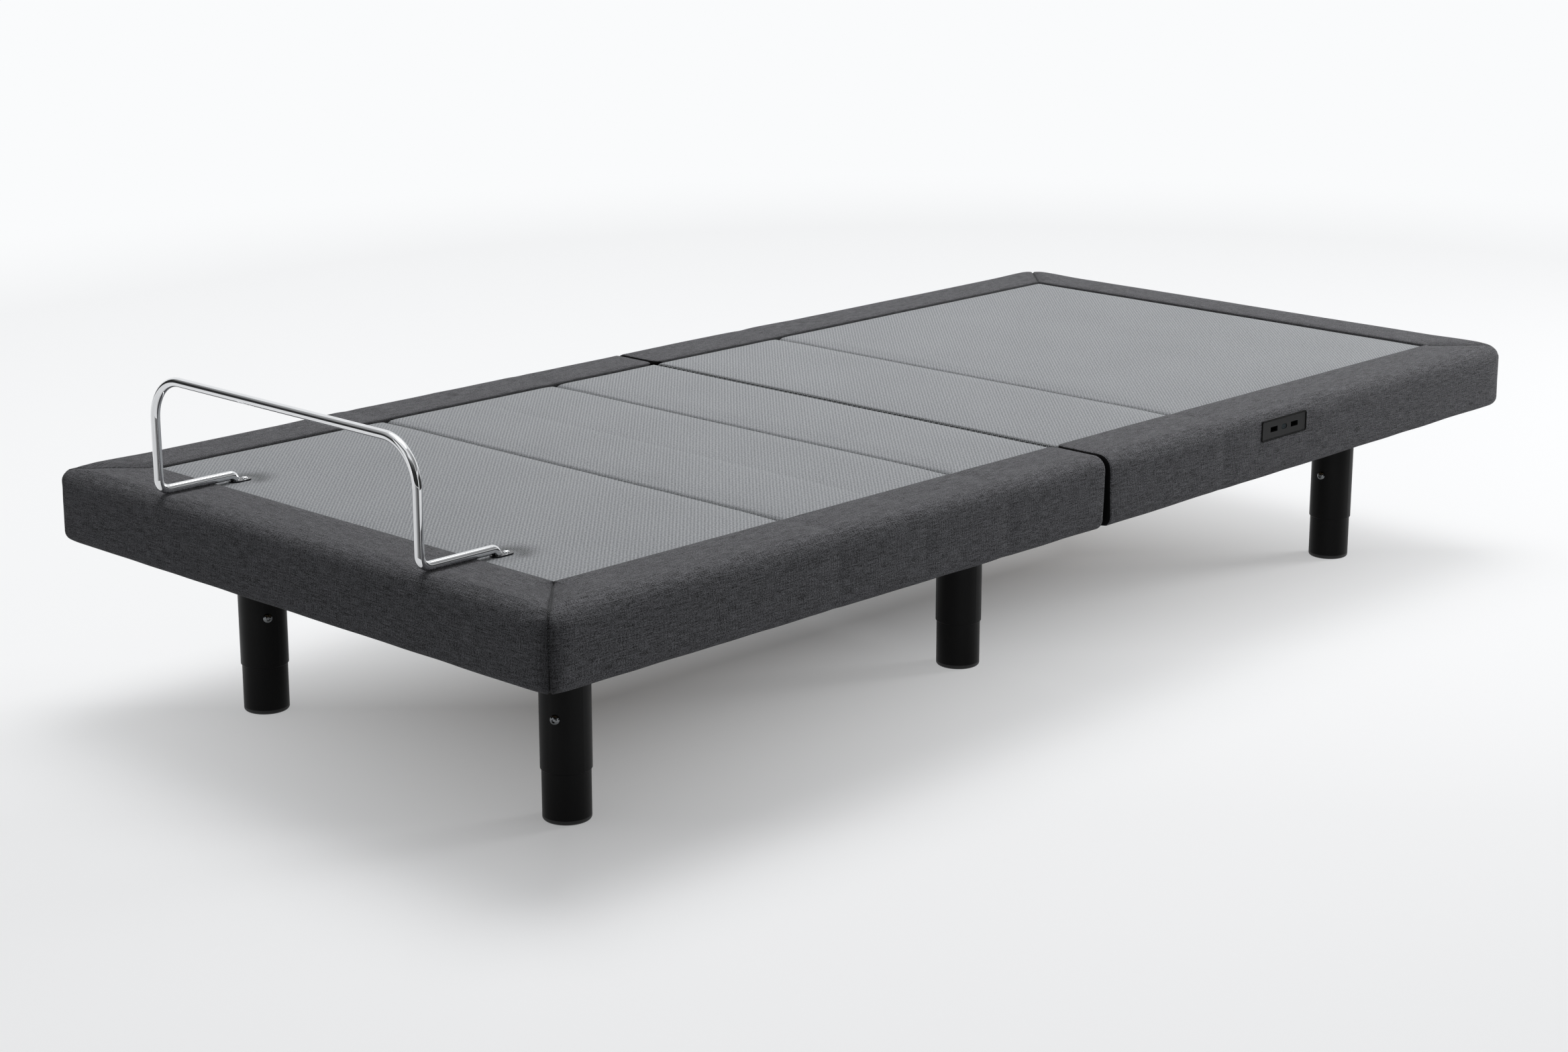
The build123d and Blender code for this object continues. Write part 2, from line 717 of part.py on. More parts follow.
with BuildPart() as head_lift_arms:
    add(cross_shaft(HEAD_SHAFT_Y))
    for side in (-1, 1):
        add(bar_plate(side * ARM_X, ARM_T, (HEAD_SHAFT_Y, shaft_z), (roller_y, roller_z), HEAD_ARM_HEIGHT))
        add(arm_pin(side, roller_y, roller_z, ROLLER_WIDTH + 2 * ROLLER_GAP))
    add(bar_plate(ACTUATOR_X, LEVER_T, (HEAD_SHAFT_Y, shaft_z), (head_lever_y, lever_pin_z(head_swing)),
                  LEVER_WIDTH))
    add(lever_pin(ACTUATOR_X, head_lever_y, lever_pin_z(head_swing)))
save(head_lift_arms, "head_lift_arms")

with BuildPart() as head_rollers:
    roller_mid = arm_outer_x + ROLLER_GAP + ROLLER_WIDTH / 2
    with Locations(*[x_facing((side * roller_mid, roller_y, roller_z)) for side in (-1, 1)]):
        Cylinder(ROLLER_R, ROLLER_WIDTH)
        Cylinder(ARM_PIN_R + RUN_GAP, ROLLER_WIDTH, mode=Mode.SUBTRACT)
save(head_rollers, "head_rollers")

link_pin_length = LINK_PLATE_GAP + LINK_PLATE_T + LINK_PLATE_GAP
with BuildPart() as foot_lift_arms:
    add(cross_shaft(HIP_Y))
    for side in (-1, 1):
        add(bar_plate(side * ARM_X, ARM_T, (HIP_Y, shaft_z), (KNEE_Y, shaft_z), FOOT_ARM_HEIGHT))
        add(arm_pin(side, KNEE_Y, shaft_z, link_pin_length))
    add(bar_plate(-ACTUATOR_X, LEVER_T, (HIP_Y, shaft_z), (foot_lever_y, lever_pin_z(foot_swing)),
                  LEVER_WIDTH))
    add(lever_pin(-ACTUATOR_X, foot_lever_y, lever_pin_z(foot_swing)))
save(foot_lift_arms, "foot_lift_arms")

# Brackets under the calf board that the foot arms push on
with BuildPart() as calf_link_brackets:
    link_edge = KNEE_Y - KNEE_BOARD_SETBACK
    for side in (-1, 1):
        inner_x = side * (arm_outer_x + LINK_PLATE_GAP)
        with BuildSketch(x_facing((inner_x, 0, 0))):
            with BuildLine():
                Polyline(
                    (link_edge - LINK_ROOT, board_bottom),
                    (link_edge - LINK_BOSS_R / 2, board_bottom),
                    (KNEE_Y, shaft_z + LINK_BOSS_R),
                    (KNEE_Y, shaft_z - LINK_BOSS_R),
                    close=True,
                )
            make_face()
            with Locations((KNEE_Y, shaft_z)):
                Circle(LINK_BOSS_R)
                Circle(ARM_PIN_R + RUN_GAP, mode=Mode.SUBTRACT)
        extrude(amount=side * LINK_PLATE_T)
save(calf_link_brackets, "calf_link_brackets")

with BuildPart() as roller_tracks:
    track_x = arm_outer_x + ROLLER_GAP + ROLLER_WIDTH / 2
    with Locations(*[(side * track_x, BACK_Y + TRACK_START, track_bottom) for side in (-1, 1)]):
        Box(TRACK_WIDTH, TRACK_LENGTH, TRACK_T, align=(Align.CENTER, Align.MIN, Align.MIN))
save(roller_tracks, "roller_tracks")

# An actuator: side of the bed, the y that its fixed end hangs at, its way along Y, and its lever
Actuator = namedtuple("Actuator", "x base_y way guide_end guide_length pin_y swing")
head_drive = Actuator(ACTUATOR_X, MID_LEG_Y, 1, HEAD_GUIDE_END, HEAD_GUIDE_LENGTH, head_lever_y, head_swing)
foot_drive = Actuator(-ACTUATOR_X, HEAD_CROSS_Y, -1, FOOT_GUIDE_END, FOOT_GUIDE_LENGTH, foot_lever_y,
                      foot_swing)
drives = (head_drive, foot_drive)
cheek_mid = EYE_T / 2 + BASE_CHEEK_GAP + BASE_CHEEK_T / 2

# Bearing plates on the side tubes for the two shafts, and the actuators' hangers under the cross tubes
with BuildPart() as lift_brackets:
    for side in (-1, 1):
        bearing_x = side * (tube_inner_x - BEARING_T / 2)
        with Locations(*[(bearing_x, y, shaft_z) for y in (HIP_Y, HEAD_SHAFT_Y)]):
            Box(BEARING_T, BEARING_WIDTH, BEARING_HEIGHT)
        with Locations(*[x_facing((bearing_x, y, shaft_z)) for y in (HIP_Y, HEAD_SHAFT_Y)]):
            Cylinder(STUB_R + RUN_GAP, BEARING_T, mode=Mode.SUBTRACT)
    for drive in drives:
        axis_z = rod_z(drive.swing)
        with Locations((drive.x, drive.base_y, tube_bottom - BASE_PLATE_T / 2)):
            Box(2 * cheek_mid + BASE_CHEEK_T, TUBE_W, BASE_PLATE_T)
        for side in (-1, 1):
            with BuildSketch(Plane.YZ.offset(drive.x + side * cheek_mid - BASE_CHEEK_T / 2)):
                with Locations((drive.base_y, (tube_bottom + axis_z) / 2)):
                    Rectangle(TUBE_W, tube_bottom - axis_z)
                with Locations((drive.base_y, axis_z)):
                    Circle(TUBE_W / 2)
                    Circle(ARM_PIN_R + FIT_GAP, mode=Mode.SUBTRACT)
            extrude(amount=BASE_CHEEK_T)
save(lift_brackets, "lift_brackets")

with BuildPart() as actuator_pins:
    pin_span = 2 * cheek_mid + BASE_CHEEK_T
    with Locations(*[x_facing((d.x, d.base_y, rod_z(d.swing))) for d in drives]):
        Cylinder(ARM_PIN_R, pin_span)
        with Locations((0, 0, pin_span / 2 + PIN_WASHER_T / 2), (0, 0, -pin_span / 2 - PIN_WASHER_T / 2)):
            Cylinder(PIN_WASHER_R, PIN_WASHER_T)
save(actuator_pins, "actuator_pins")


def motor_housing(drive):
    """Gear housing with an eye at its fixed end and a motor can beside the guide tube."""
    axis_z = rod_z(drive.swing)
    guide_start = drive.guide_end - drive.way * drive.guide_length
    box_mid = guide_start - drive.way * MOTOR_LENGTH / 2
    box_back = guide_start - drive.way * MOTOR_LENGTH
    out = 1 if drive.x > 0 else -1
    with BuildPart() as motor:
        with Locations((drive.x + out * MOTOR_CAN_OUT / 2, box_mid, axis_z)):
            Box(MOTOR_WIDTH + MOTOR_CAN_OUT, MOTOR_LENGTH, MOTOR_HEIGHT)
        fillet(motor.edges().filter_by(Axis.Y), radius=MOTOR_HEIGHT / 6)
        with BuildSketch(Plane(origin=(drive.x + out * MOTOR_CAN_OUT, guide_start, axis_z), x_dir=(1, 0, 0),
                               z_dir=(0, drive.way, 0))):
            Circle(MOTOR_CAN_R)
        extrude(amount=MOTOR_CAN_LENGTH)
        with Locations((drive.x, (box_back + drive.base_y) / 2, axis_z)):
            Box(EYE_T, abs(box_back - drive.base_y), 2 * EYE_R)
        with Locations(x_facing((drive.x, drive.base_y, axis_z))):
            Cylinder(EYE_R, EYE_T)
            Cylinder(ARM_PIN_R + FIT_GAP, EYE_T, mode=Mode.SUBTRACT)
    return motor.part


def guide_tube(drive):
    """Outer tube of an actuator, bored for its rod."""
    with BuildPart() as guide:
        with BuildSketch(Plane(origin=(drive.x, drive.guide_end, rod_z(drive.swing)), x_dir=(1, 0, 0),
                               z_dir=(0, -drive.way, 0))):
            Circle(GUIDE_R)
            Circle(ROD_R + RUN_GAP, mode=Mode.SUBTRACT)
        extrude(amount=drive.guide_length)
    return guide.part


def push_rod(drive):
    """Rod of an actuator with a slotted fork that straddles its lever."""
    axis_z = rod_z(drive.swing)
    root_face = drive.pin_y - drive.way * FORK_ROOT
    root_back = root_face - drive.way * FORK_ROOT_T
    lip = drive.pin_y + drive.way * FORK_LIP
    gap_half = LEVER_T / 2 + LEVER_GAP
    slot_length = lever_drop(drive.swing) + 2 * ARM_PIN_R + 2 * FORK_SLOT_SPARE
    cheek_height = slot_length + 2 * FORK_SLOT_WALL
    with BuildPart() as rod:
        with BuildSketch(Plane(origin=(drive.x, root_back, axis_z), x_dir=(1, 0, 0), z_dir=(0, -drive.way, 0))):
            Circle(ROD_R)
        extrude(amount=abs(root_back - drive.guide_end) + drive.guide_length - ROD_END_GAP)
        with Locations((drive.x, (root_face + root_back) / 2, axis_z)):
            Box(2 * (gap_half + FORK_WALL), FORK_ROOT_T, 2 * ROD_R)
        for side in (-1, 1):
            with Locations((drive.x + side * (gap_half + FORK_WALL / 2), (root_back + lip) / 2, axis_z)):
                Box(FORK_WALL, abs(lip - root_back), cheek_height)
        with Locations((drive.x, drive.pin_y, axis_z)):
            Box(2 * (gap_half + FORK_WALL), FORK_SLOT_W, slot_length, mode=Mode.SUBTRACT)
    return rod.part


with BuildPart() as head_motor:
    add(motor_housing(head_drive))
save(head_motor, "head_motor")

with BuildPart() as head_guide_tube:
    add(guide_tube(head_drive))
save(head_guide_tube, "head_guide_tube")

with BuildPart() as head_push_rod:
    add(push_rod(head_drive))
save(head_push_rod, "head_push_rod")

with BuildPart() as foot_motor:
    add(motor_housing(foot_drive))
save(foot_motor, "foot_motor")

with BuildPart() as foot_guide_tube:
    add(guide_tube(foot_drive))
save(foot_guide_tube, "foot_guide_tube")

with BuildPart() as foot_push_rod:
    add(push_rod(foot_drive))
save(foot_push_rod, "foot_push_rod")

# Control box: an open tray under its lid, which is screwed to the lumbar board, with a power inlet
tray_top = board_bottom - BOX_LID_T
tray_bottom = tray_top - BOX_HEIGHT
inlet_face_y = BOX_Y - BOX_LENGTH / 2
inlet_z = tray_bottom + BOX_HEIGHT / 2
with BuildPart() as control_box_lid:
    with Locations((0, BOX_Y, tray_top)):
        Box(BOX_WIDTH, BOX_LENGTH, BOX_LID_T, align=(Align.CENTER, Align.CENTER, Align.MIN))
save(control_box_lid, "control_box_lid")

with BuildPart() as control_box:
    with Locations((0, BOX_Y, tray_bottom)):
        Box(BOX_WIDTH, BOX_LENGTH, BOX_HEIGHT, align=(Align.CENTER, Align.CENTER, Align.MIN))
    fillet(control_box.edges().filter_by(Axis.Z), radius=2 * BOX_WALL)
    with Locations((0, BOX_Y, tray_bottom + BOX_WALL)):
        Box(BOX_WIDTH - 2 * BOX_WALL, BOX_LENGTH - 2 * BOX_WALL, BOX_HEIGHT - BOX_WALL,
            align=(Align.CENTER, Align.CENTER, Align.MIN), mode=Mode.SUBTRACT)
    with Locations((0, inlet_face_y, inlet_z)):
        Box(INLET_WIDTH + 2 * FIT_GAP, 4 * BOX_WALL, INLET_HEIGHT + 2 * FIT_GAP, mode=Mode.SUBTRACT)
save(control_box, "control_box")

with BuildPart() as power_inlet:
    with Locations((0, inlet_face_y, inlet_z)):
        Box(INLET_WIDTH, INLET_DEPTH, INLET_HEIGHT, align=(Align.CENTER, Align.MIN, Align.CENTER))
        Box(INLET_WIDTH + 2 * INLET_FLANGE, INLET_FLANGE_T, INLET_HEIGHT + 2 * INLET_FLANGE,
            align=(Align.CENTER, Align.MAX, Align.CENTER))
    with Locations((0, inlet_face_y - INLET_FLANGE_T, inlet_z)):
        Box(INLET_WIDTH - 2 * INLET_WALL, INLET_DEPTH + INLET_FLANGE_T - INLET_WALL,
            INLET_HEIGHT - 2 * INLET_WALL, align=(Align.CENTER, Align.MIN, Align.CENTER), mode=Mode.SUBTRACT)
save(power_inlet, "power_inlet")

# Charging plate, its two sockets behind it and the light between them
port_y = (PLATE_Y - PORT_SPACING / 2, PLATE_Y + PORT_SPACING / 2)
plate_back = half_w - PLATE_T
light_back = half_w - LIGHT_RECESS - LIGHT_T
with BuildPart() as charging_plate:
    with Locations((half_w, PLATE_Y, PLATE_Z)):
        Box(PLATE_T, PLATE_WIDTH, PLATE_HEIGHT, align=(Align.MAX, Align.CENTER, Align.CENTER))
    fillet(charging_plate.edges().filter_by(Axis.X), radius=PLATE_T)
    with Locations(*[(half_w, y, PLATE_Z) for y in port_y]):
        Box(4 * PLATE_T, PORT_WIDTH, PORT_HEIGHT, mode=Mode.SUBTRACT)
    with BuildSketch(Plane.YZ.offset(light_back)):
        with Locations((PLATE_Y, PLATE_Z)):
            SlotOverall(LIGHT_WIDTH + 2 * FIT_GAP, LIGHT_HEIGHT + 2 * FIT_GAP)
    extrude(amount=LIGHT_T + LIGHT_RECESS, mode=Mode.SUBTRACT)
save(charging_plate, "charging_plate")

with BuildPart() as charging_sockets:
    with Locations(*[(plate_back, y, PLATE_Z) for y in port_y]):
        Box(PORT_DEPTH, port_body_w, port_body_h, align=(Align.MAX, Align.CENTER, Align.CENTER))
        Box(PORT_DEPTH - PORT_WALL, PORT_WIDTH, PORT_HEIGHT, align=(Align.MAX, Align.CENTER, Align.CENTER),
            mode=Mode.SUBTRACT)
save(charging_sockets, "charging_sockets")

with BuildPart() as charging_light:
    with BuildSketch(Plane.YZ.offset(light_back)):
        with Locations((PLATE_Y, PLATE_Z)):
            SlotOverall(LIGHT_WIDTH, LIGHT_HEIGHT)
    extrude(amount=LIGHT_T)
save(charging_light, "charging_light")

# Retainer bar: one bent rod lying on the foot border, with its tails down through the calf section
bar_foot_z = border_top + BAR_LIFT + BAR_R
with BuildPart() as retainer_bar:
    with BuildLine() as bar_path:
        FilletPolyline(
            (-BAR_X, BAR_TAIL_Y, board_bottom),
            (-BAR_X, BAR_TAIL_Y, bar_foot_z),
            (-BAR_X, BAR_Y, bar_foot_z),
            (-BAR_X, BAR_Y, BAR_TOP_Z),
            (BAR_X, BAR_Y, BAR_TOP_Z),
            (BAR_X, BAR_Y, bar_foot_z),
            (BAR_X, BAR_TAIL_Y, bar_foot_z),
            (BAR_X, BAR_TAIL_Y, board_bottom),
            radius=[BAR_TAIL_BEND, BAR_LOW_BEND, BAR_TOP_BEND, BAR_TOP_BEND, BAR_LOW_BEND, BAR_TAIL_BEND],
        )
    with BuildSketch(Plane(origin=bar_path.line @ 0, z_dir=bar_path.line % 0)):
        Circle(BAR_R)
    sweep()
save(retainer_bar, "retainer_bar")

with BuildPart() as retainer_clamps:
    with BuildSketch(Plane.XY.offset(DECK_TOP)):
        with Locations(*[(x, y + CLAMP_SPACING / 2) for x, y in bar_places]):
            SlotCenterToCenter(CLAMP_SPACING, CLAMP_WIDTH, rotation=90)
        with Locations(*bar_places):
            Circle(BAR_R + CLAMP_BAR_GAP, mode=Mode.SUBTRACT)
        with Locations(*clamp_screw_places):
            Circle(CLAMP_SCREW_R + FIT_GAP, mode=Mode.SUBTRACT)
    extrude(amount=CLAMP_T)
save(retainer_clamps, "retainer_clamps")

with BuildPart() as retainer_screws:
    with BuildSketch(Plane.XY.offset(DECK_TOP + CLAMP_T)):
        with Locations(*clamp_screw_places):
            Circle(CLAMP_HEAD_R)
    extrude(amount=CLAMP_HEAD_T)
    head_tops = retainer_screws.faces().filter_by(Axis.Z).group_by(Axis.Z)[-1]
    fillet(head_tops.edges(), radius=CLAMP_HEAD_T * 0.7)
    with BuildSketch(Plane.XY.offset(board_bottom)):
        with Locations(*clamp_screw_places):
            Circle(CLAMP_SCREW_R)
    extrude(amount=DECK_TOP + CLAMP_T - board_bottom)
save(retainer_screws, "retainer_screws")
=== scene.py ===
import json
import math

import bmesh
import bpy
import numpy as np
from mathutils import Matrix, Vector, noise


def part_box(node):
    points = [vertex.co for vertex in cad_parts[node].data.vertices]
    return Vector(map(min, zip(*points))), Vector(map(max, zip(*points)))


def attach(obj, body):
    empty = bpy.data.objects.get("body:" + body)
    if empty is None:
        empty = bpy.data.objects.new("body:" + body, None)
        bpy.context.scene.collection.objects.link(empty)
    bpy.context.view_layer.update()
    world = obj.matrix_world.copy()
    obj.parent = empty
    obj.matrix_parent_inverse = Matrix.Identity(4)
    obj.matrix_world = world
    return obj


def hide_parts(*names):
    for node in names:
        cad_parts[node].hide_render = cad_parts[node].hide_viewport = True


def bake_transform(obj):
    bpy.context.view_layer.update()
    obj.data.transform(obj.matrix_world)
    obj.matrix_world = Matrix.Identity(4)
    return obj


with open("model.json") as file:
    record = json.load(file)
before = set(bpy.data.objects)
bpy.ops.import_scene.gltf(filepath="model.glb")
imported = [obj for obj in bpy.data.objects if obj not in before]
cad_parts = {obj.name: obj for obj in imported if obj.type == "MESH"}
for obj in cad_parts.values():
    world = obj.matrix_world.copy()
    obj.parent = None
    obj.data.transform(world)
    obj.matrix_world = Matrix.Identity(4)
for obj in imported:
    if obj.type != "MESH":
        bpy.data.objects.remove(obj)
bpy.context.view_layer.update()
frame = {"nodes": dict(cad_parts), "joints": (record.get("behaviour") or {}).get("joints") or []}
nodes = frame["nodes"]
hinges = {joint["name"]: joint for joint in frame["joints"]}

# Shapes are worked out in millimetres, in the frame of the solids, and written to meshes in metres
MM = 0.001


def corners(node_name):
    """Lowest and highest corner of a solid, in millimetres."""
    return [np.array(corner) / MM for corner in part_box(node_name)]


rails_low, rails_high = corners("calf_rails")
HALF_W = rails_high[0]
HALF_L = -rails_low[1]
BORDER_TOP = rails_high[2]
HEM = rails_low[2]
DECK_TOP = corners("seat_pad")[1][2]
BOARD_TOP = corners("seat_board")[1][2]
KNEE_Y = hinges["calf_fold"]["pos_m"][1] / MM
HIP_Y = hinges["thigh_lift"]["pos_m"][1] / MM
BACK_Y = hinges["back_lift"]["pos_m"][1] / MM
FOOT_HALF_END = corners("seat_pad")[1][1]
HEAD_HALF_END = corners("lumbar_pad")[0][1]
CREASES = (KNEE_Y, HIP_Y, BACK_Y)
# The foot half's covers are made in two pieces that meet in the middle of the thigh section
THIGH_JOIN_Y = -376.0

# Section of the padded border
BORDER = 95.0
SKIRT = 40.0
INNER_EDGE_R = 3.5
TOP_EDGE_R = 20.0
HEM_R = 14.0
HEM_INNER_R = 6.0
INNER_HALF_W = HALF_W - BORDER
INNER_HALF_L = HALF_L - BORDER
# Radius of the corners in plan and how far in their rounding reaches, for the foot (-1) and the head (1)
CORNER_RADII = {-1: 15.0, 1: 38.0}
ROUND_REACHES = {-1: 14.0, 1: 28.0}

# Lengths over which the covers turn at each crease
HIP_TURN = 100.0
KNEE_TURN = 120.0
BACK_TURN = 100.0


# Node trees

def linear(colour):
    """sRGB hex colour as linear RGBA."""
    parts = [int(colour[i:i + 2], 16) / 255 for i in (1, 3, 5)]
    return [c / 12.92 if c <= 0.04045 else ((c + 0.055) / 1.055) ** 2.4 for c in parts] + [1.0]


def feed(tree, node, inputs):
    """Gives a node's sockets values, or links from sockets or from the first live output of other nodes."""
    for socket, value in inputs.items():
        if isinstance(value, bpy.types.Node):
            value = next(output for output in value.outputs if output.enabled)
        if isinstance(value, bpy.types.NodeSocket):
            tree.links.new(value, node.inputs[socket])
        else:
            node.inputs[socket].default_value = value


def add_node(tree, kind, inputs=None, **settings):
    """Adds a node with its settings, and feeds its sockets."""
    made = tree.nodes.new(kind)
    for name, value in settings.items():
        setattr(made, name, value)
    feed(tree, made, inputs or {})
    return made


def new_material(name, **shader_values):
    """A material with its tree and shader, with constant values set on the shader."""
    material = bpy.data.materials.new(name)
    material.use_nodes = True
    tree = material.node_tree
    shader = tree.nodes["Principled BSDF"]
    feed(tree, shader, {socket.replace("_", " "): value for socket, value in shader_values.items()})
    return material, tree, shader


def wave_along(tree, place, direction, pitch):
    """Sine from 0 to 1 along a direction, once in each pitch in millimetres."""
    along = add_node(tree, "ShaderNodeVectorMath", {0: place, 1: direction}, operation="DOT_PRODUCT")
    turn = add_node(tree, "ShaderNodeMath", {0: along, 1: 2 * math.pi / (pitch * MM)}, operation="MULTIPLY")
    sine = add_node(tree, "ShaderNodeMath", {0: turn}, operation="SINE")
    return add_node(tree, "ShaderNodeMath", {0: sine, 1: 0.5, 2: 0.5}, operation="MULTIPLY_ADD")


def crossed_waves(tree, place, first, second, pitch):
    """Spots where the waves along two directions meet, as where two sets of threads cross."""
    waves = [wave_along(tree, place, direction, pitch) for direction in (first, second)]
    return add_node(tree, "ShaderNodeMath", {0: waves[0], 1: waves[1]}, operation="MULTIPLY")


def grain(tree, place, size, detail):
    """Noise with grains of a size in millimetres, given as one number or as one for each axis."""
    stretch = [1 / (length * MM) for length in np.broadcast_to(size, 3)]
    scaled = add_node(tree, "ShaderNodeVectorMath", {0: place, 1: stretch}, operation="MULTIPLY")
    return add_node(tree, "ShaderNodeTexNoise", {"Vector": scaled, "Scale": 1.0, "Detail": detail},
                    noise_dimensions="3D")


def weighted_sum(tree, *patterns):
    """Sum of patterns, each given with its weight."""
    total = 0.0
    for pattern, weight in patterns:
        total = add_node(tree, "ShaderNodeMath", {0: pattern, 1: weight, 2: total}, operation="MULTIPLY_ADD")
    return total


def two_tone(tree, pattern, dark, light, low=0.0, high=1.0):
    """Colour that goes from one hex colour to another as a pattern goes from low to high."""
    share = add_node(tree, "ShaderNodeMapRange", {0: pattern, 1: low, 2: high})
    return add_node(tree, "ShaderNodeMix", {0: share, 6: linear(dark), 7: linear(light)}, data_type="RGBA")


def dress(tree, shader, colour, height, depth, strength, **more):
    """Feeds a shader its colour, the relief of a pattern as deep as depth in millimetres, and more inputs."""
    relief = add_node(tree, "ShaderNodeBump", {"Height": height, "Distance": depth * MM,
                                               "Strength": strength})
    feed(tree, shader, {"Base Color": colour, "Normal": relief, **more})


# Materials: sizes of patterns are in millimetres

def upholstery_linen():
    """Heathered polyester linen-look cloth: woven from slub yarns of two greys, so speckled and matt."""
    material, tree, shader = new_material("charcoal_linen_weave", Roughness=0.92, Sheen_Weight=0.1,
                                          Sheen_Roughness=0.5, Specular_IOR_Level=0.2)
    cloth = add_node(tree, "ShaderNodeUVMap", uv_map="cloth")
    # Yarns are about 1 mm apart; the weave and slubs are drawn at 1.6 mm and more so that they show
    weave = crossed_waves(tree, cloth, (1, 0, 0), (0, 1, 0), 2.0)
    slub_weft = grain(tree, cloth, (1.6, 20, 1), 1.0)
    slub_warp = grain(tree, cloth, (12, 1.6, 1), 1.0)
    speckle = grain(tree, cloth, 1.6, 1.0)
    cloud = grain(tree, cloth, (9, 90, 1), 2.0)
    yarn = weighted_sum(tree, (slub_warp, 0.26), (slub_weft, 0.34), (speckle, 0.62))
    heather = weighted_sum(tree, (yarn, 1.0), (cloud, 0.08))
    tone = add_node(tree, "ShaderNodeMapRange", {0: heather, 1: 0.5, 2: 0.82})
    # The darkest yarn colour, used again as the painted shade along the seams
    shadow = "#0b0b0c"
    colour = two_tone(tree, weighted_sum(tree, (tone, 1.0), (weave, 0.1)), shadow, "#747478")
    # Painted shade along the corner seams, beside them and along the deck's edge, where the cloth is drawn in
    seam = add_node(tree, "ShaderNodeAttribute", attribute_name="seam").outputs["Fac"]
    seam_shaded = add_node(tree, "ShaderNodeMix", {0: seam, 6: colour, 7: linear(shadow)}, data_type="RGBA")
    dress(tree, shader, seam_shaded, weighted_sum(tree, (weave, 1.0), (yarn, 0.8)), 0.6, 0.8)
    return material


def seam_lining():
    """Spun-bonded polypropylene dust cloth: thin black felt with fine bonded dimples; at the split it also
    paints the shade in the gap.
    """
    material, tree, shader = new_material("black_spun_bond_and_split_shade", Roughness=0.95, Specular_IOR_Level=0.1)
    place = add_node(tree, "ShaderNodeTexCoord").outputs["Object"]
    fibres = grain(tree, place, 1.4, 3.0)
    dimples = crossed_waves(tree, place, (1, 0, 1), (1, 0, -1), 2.5)
    colour = two_tone(tree, fibres, "#060606", "#121213")
    dress(tree, shader, colour, weighted_sum(tree, (fibres, 1.0), (dimples, 0.6)), 0.2, 0.5)
    return material


def deck_knit():
    """Spacer-knit mesh cloth: diagonal ribs of light yarn with darker open courses between them, matt."""
    material, tree, shader = new_material("grey_spacer_knit", Roughness=0.85, Sheen_Weight=0.08,
                                          Specular_IOR_Level=0.3)
    cloth = add_node(tree, "ShaderNodeUVMap", uv_map="cloth")
    slant = math.sqrt(0.5)
    ribs = wave_along(tree, cloth, (slant, slant, 0), 4.35)
    loops = wave_along(tree, cloth, (-slant, slant, 0), 2.4)
    yarn = grain(tree, cloth, 2.6, 2.0)
    cloud = grain(tree, cloth, 160, 1.0)
    lattice = weighted_sum(tree, (ribs, 0.46), (loops, 0.45))
    shade = weighted_sum(tree, (lattice, 0.55), (yarn, 1.1), (cloud, 0.1))
    light = two_tone(tree, shade, "#676a6d", "#abadb0", 0.49, 1.17)
    # Painted shade where the knit is drawn down, in the creases, at the split and behind the clamps; in the
    # creases the knit is also stretched over its holes, which are about 3.4 mm apart
    holes = crossed_waves(tree, cloth, (1, 0.35, 0), (-0.35, 1, 0), 3.4)
    dark = two_tone(tree, weighted_sum(tree, (holes, 1.0), (yarn, 0.4)), "#1d1e1f", "#808385", 0.25, 0.8)
    valley_shade = add_node(tree, "ShaderNodeAttribute", attribute_name="valley_shade").outputs["Fac"]
    colour = add_node(tree, "ShaderNodeMix", {0: valley_shade, 6: light, 7: dark}, data_type="RGBA")
    dress(tree, shader, colour, weighted_sum(tree, (lattice, 1.0), (yarn, 0.3)), 0.7, 0.6)
    return material


def sewing_thread():
    """Bonded nylon thread, twisted, with a slight gloss."""
    material, tree, shader = new_material("grey_nylon_thread", Roughness=0.55)
    place = add_node(tree, "ShaderNodeTexCoord").outputs["Object"]
    twist = wave_along(tree, place, (0.8, 0.5, 0.33), 0.9)
    dress(tree, shader, two_tone(tree, twist, "#3b3d3f", "#6f7274"), twist, 0.1, 0.6)
    return material


def powder_coat(name, dark, light, roughness):
    """Baked powder paint on steel: an even satin black with a faint orange-peel skin."""
    material, tree, shader = new_material(name, Specular_IOR_Level=0.12)
    place = add_node(tree, "ShaderNodeTexCoord").outputs["Object"]
    peel = grain(tree, place, 1.6, 2.0)
    cloud = grain(tree, place, 60, 3.0)
    gloss = add_node(tree, "ShaderNodeMapRange", {0: cloud, 1: 0.3, 2: 0.7, 3: roughness - 0.05,
                                                  4: roughness + 0.06})
    dress(tree, shader, two_tone(tree, cloud, dark, light), peel, 0.08, 0.35, Roughness=gloss)
    return material


def bright_metal(name, dark, light, roughness, brush=0.0):
    """A bare or plated metal: mirror-like as chrome, or duller and drawn along its length as zinc."""
    material, tree, shader = new_material(name, Metallic=1.0)
    place = add_node(tree, "ShaderNodeTexCoord").outputs["Object"]
    cloud = grain(tree, place, 25, 3.0)
    gloss = add_node(tree, "ShaderNodeMapRange", {0: cloud, 1: 0.3, 2: 0.7, 3: roughness * 0.8,
                                                  4: roughness * 1.3})
    colour = two_tone(tree, cloud, dark, light)
    if brush:
        dress(tree, shader, colour, grain(tree, place, (0.6, 30, 0.6), 2.0), 0.05, brush, Roughness=gloss)
    else:
        feed(tree, shader, {"Base Color": colour, "Roughness": gloss})
    return material


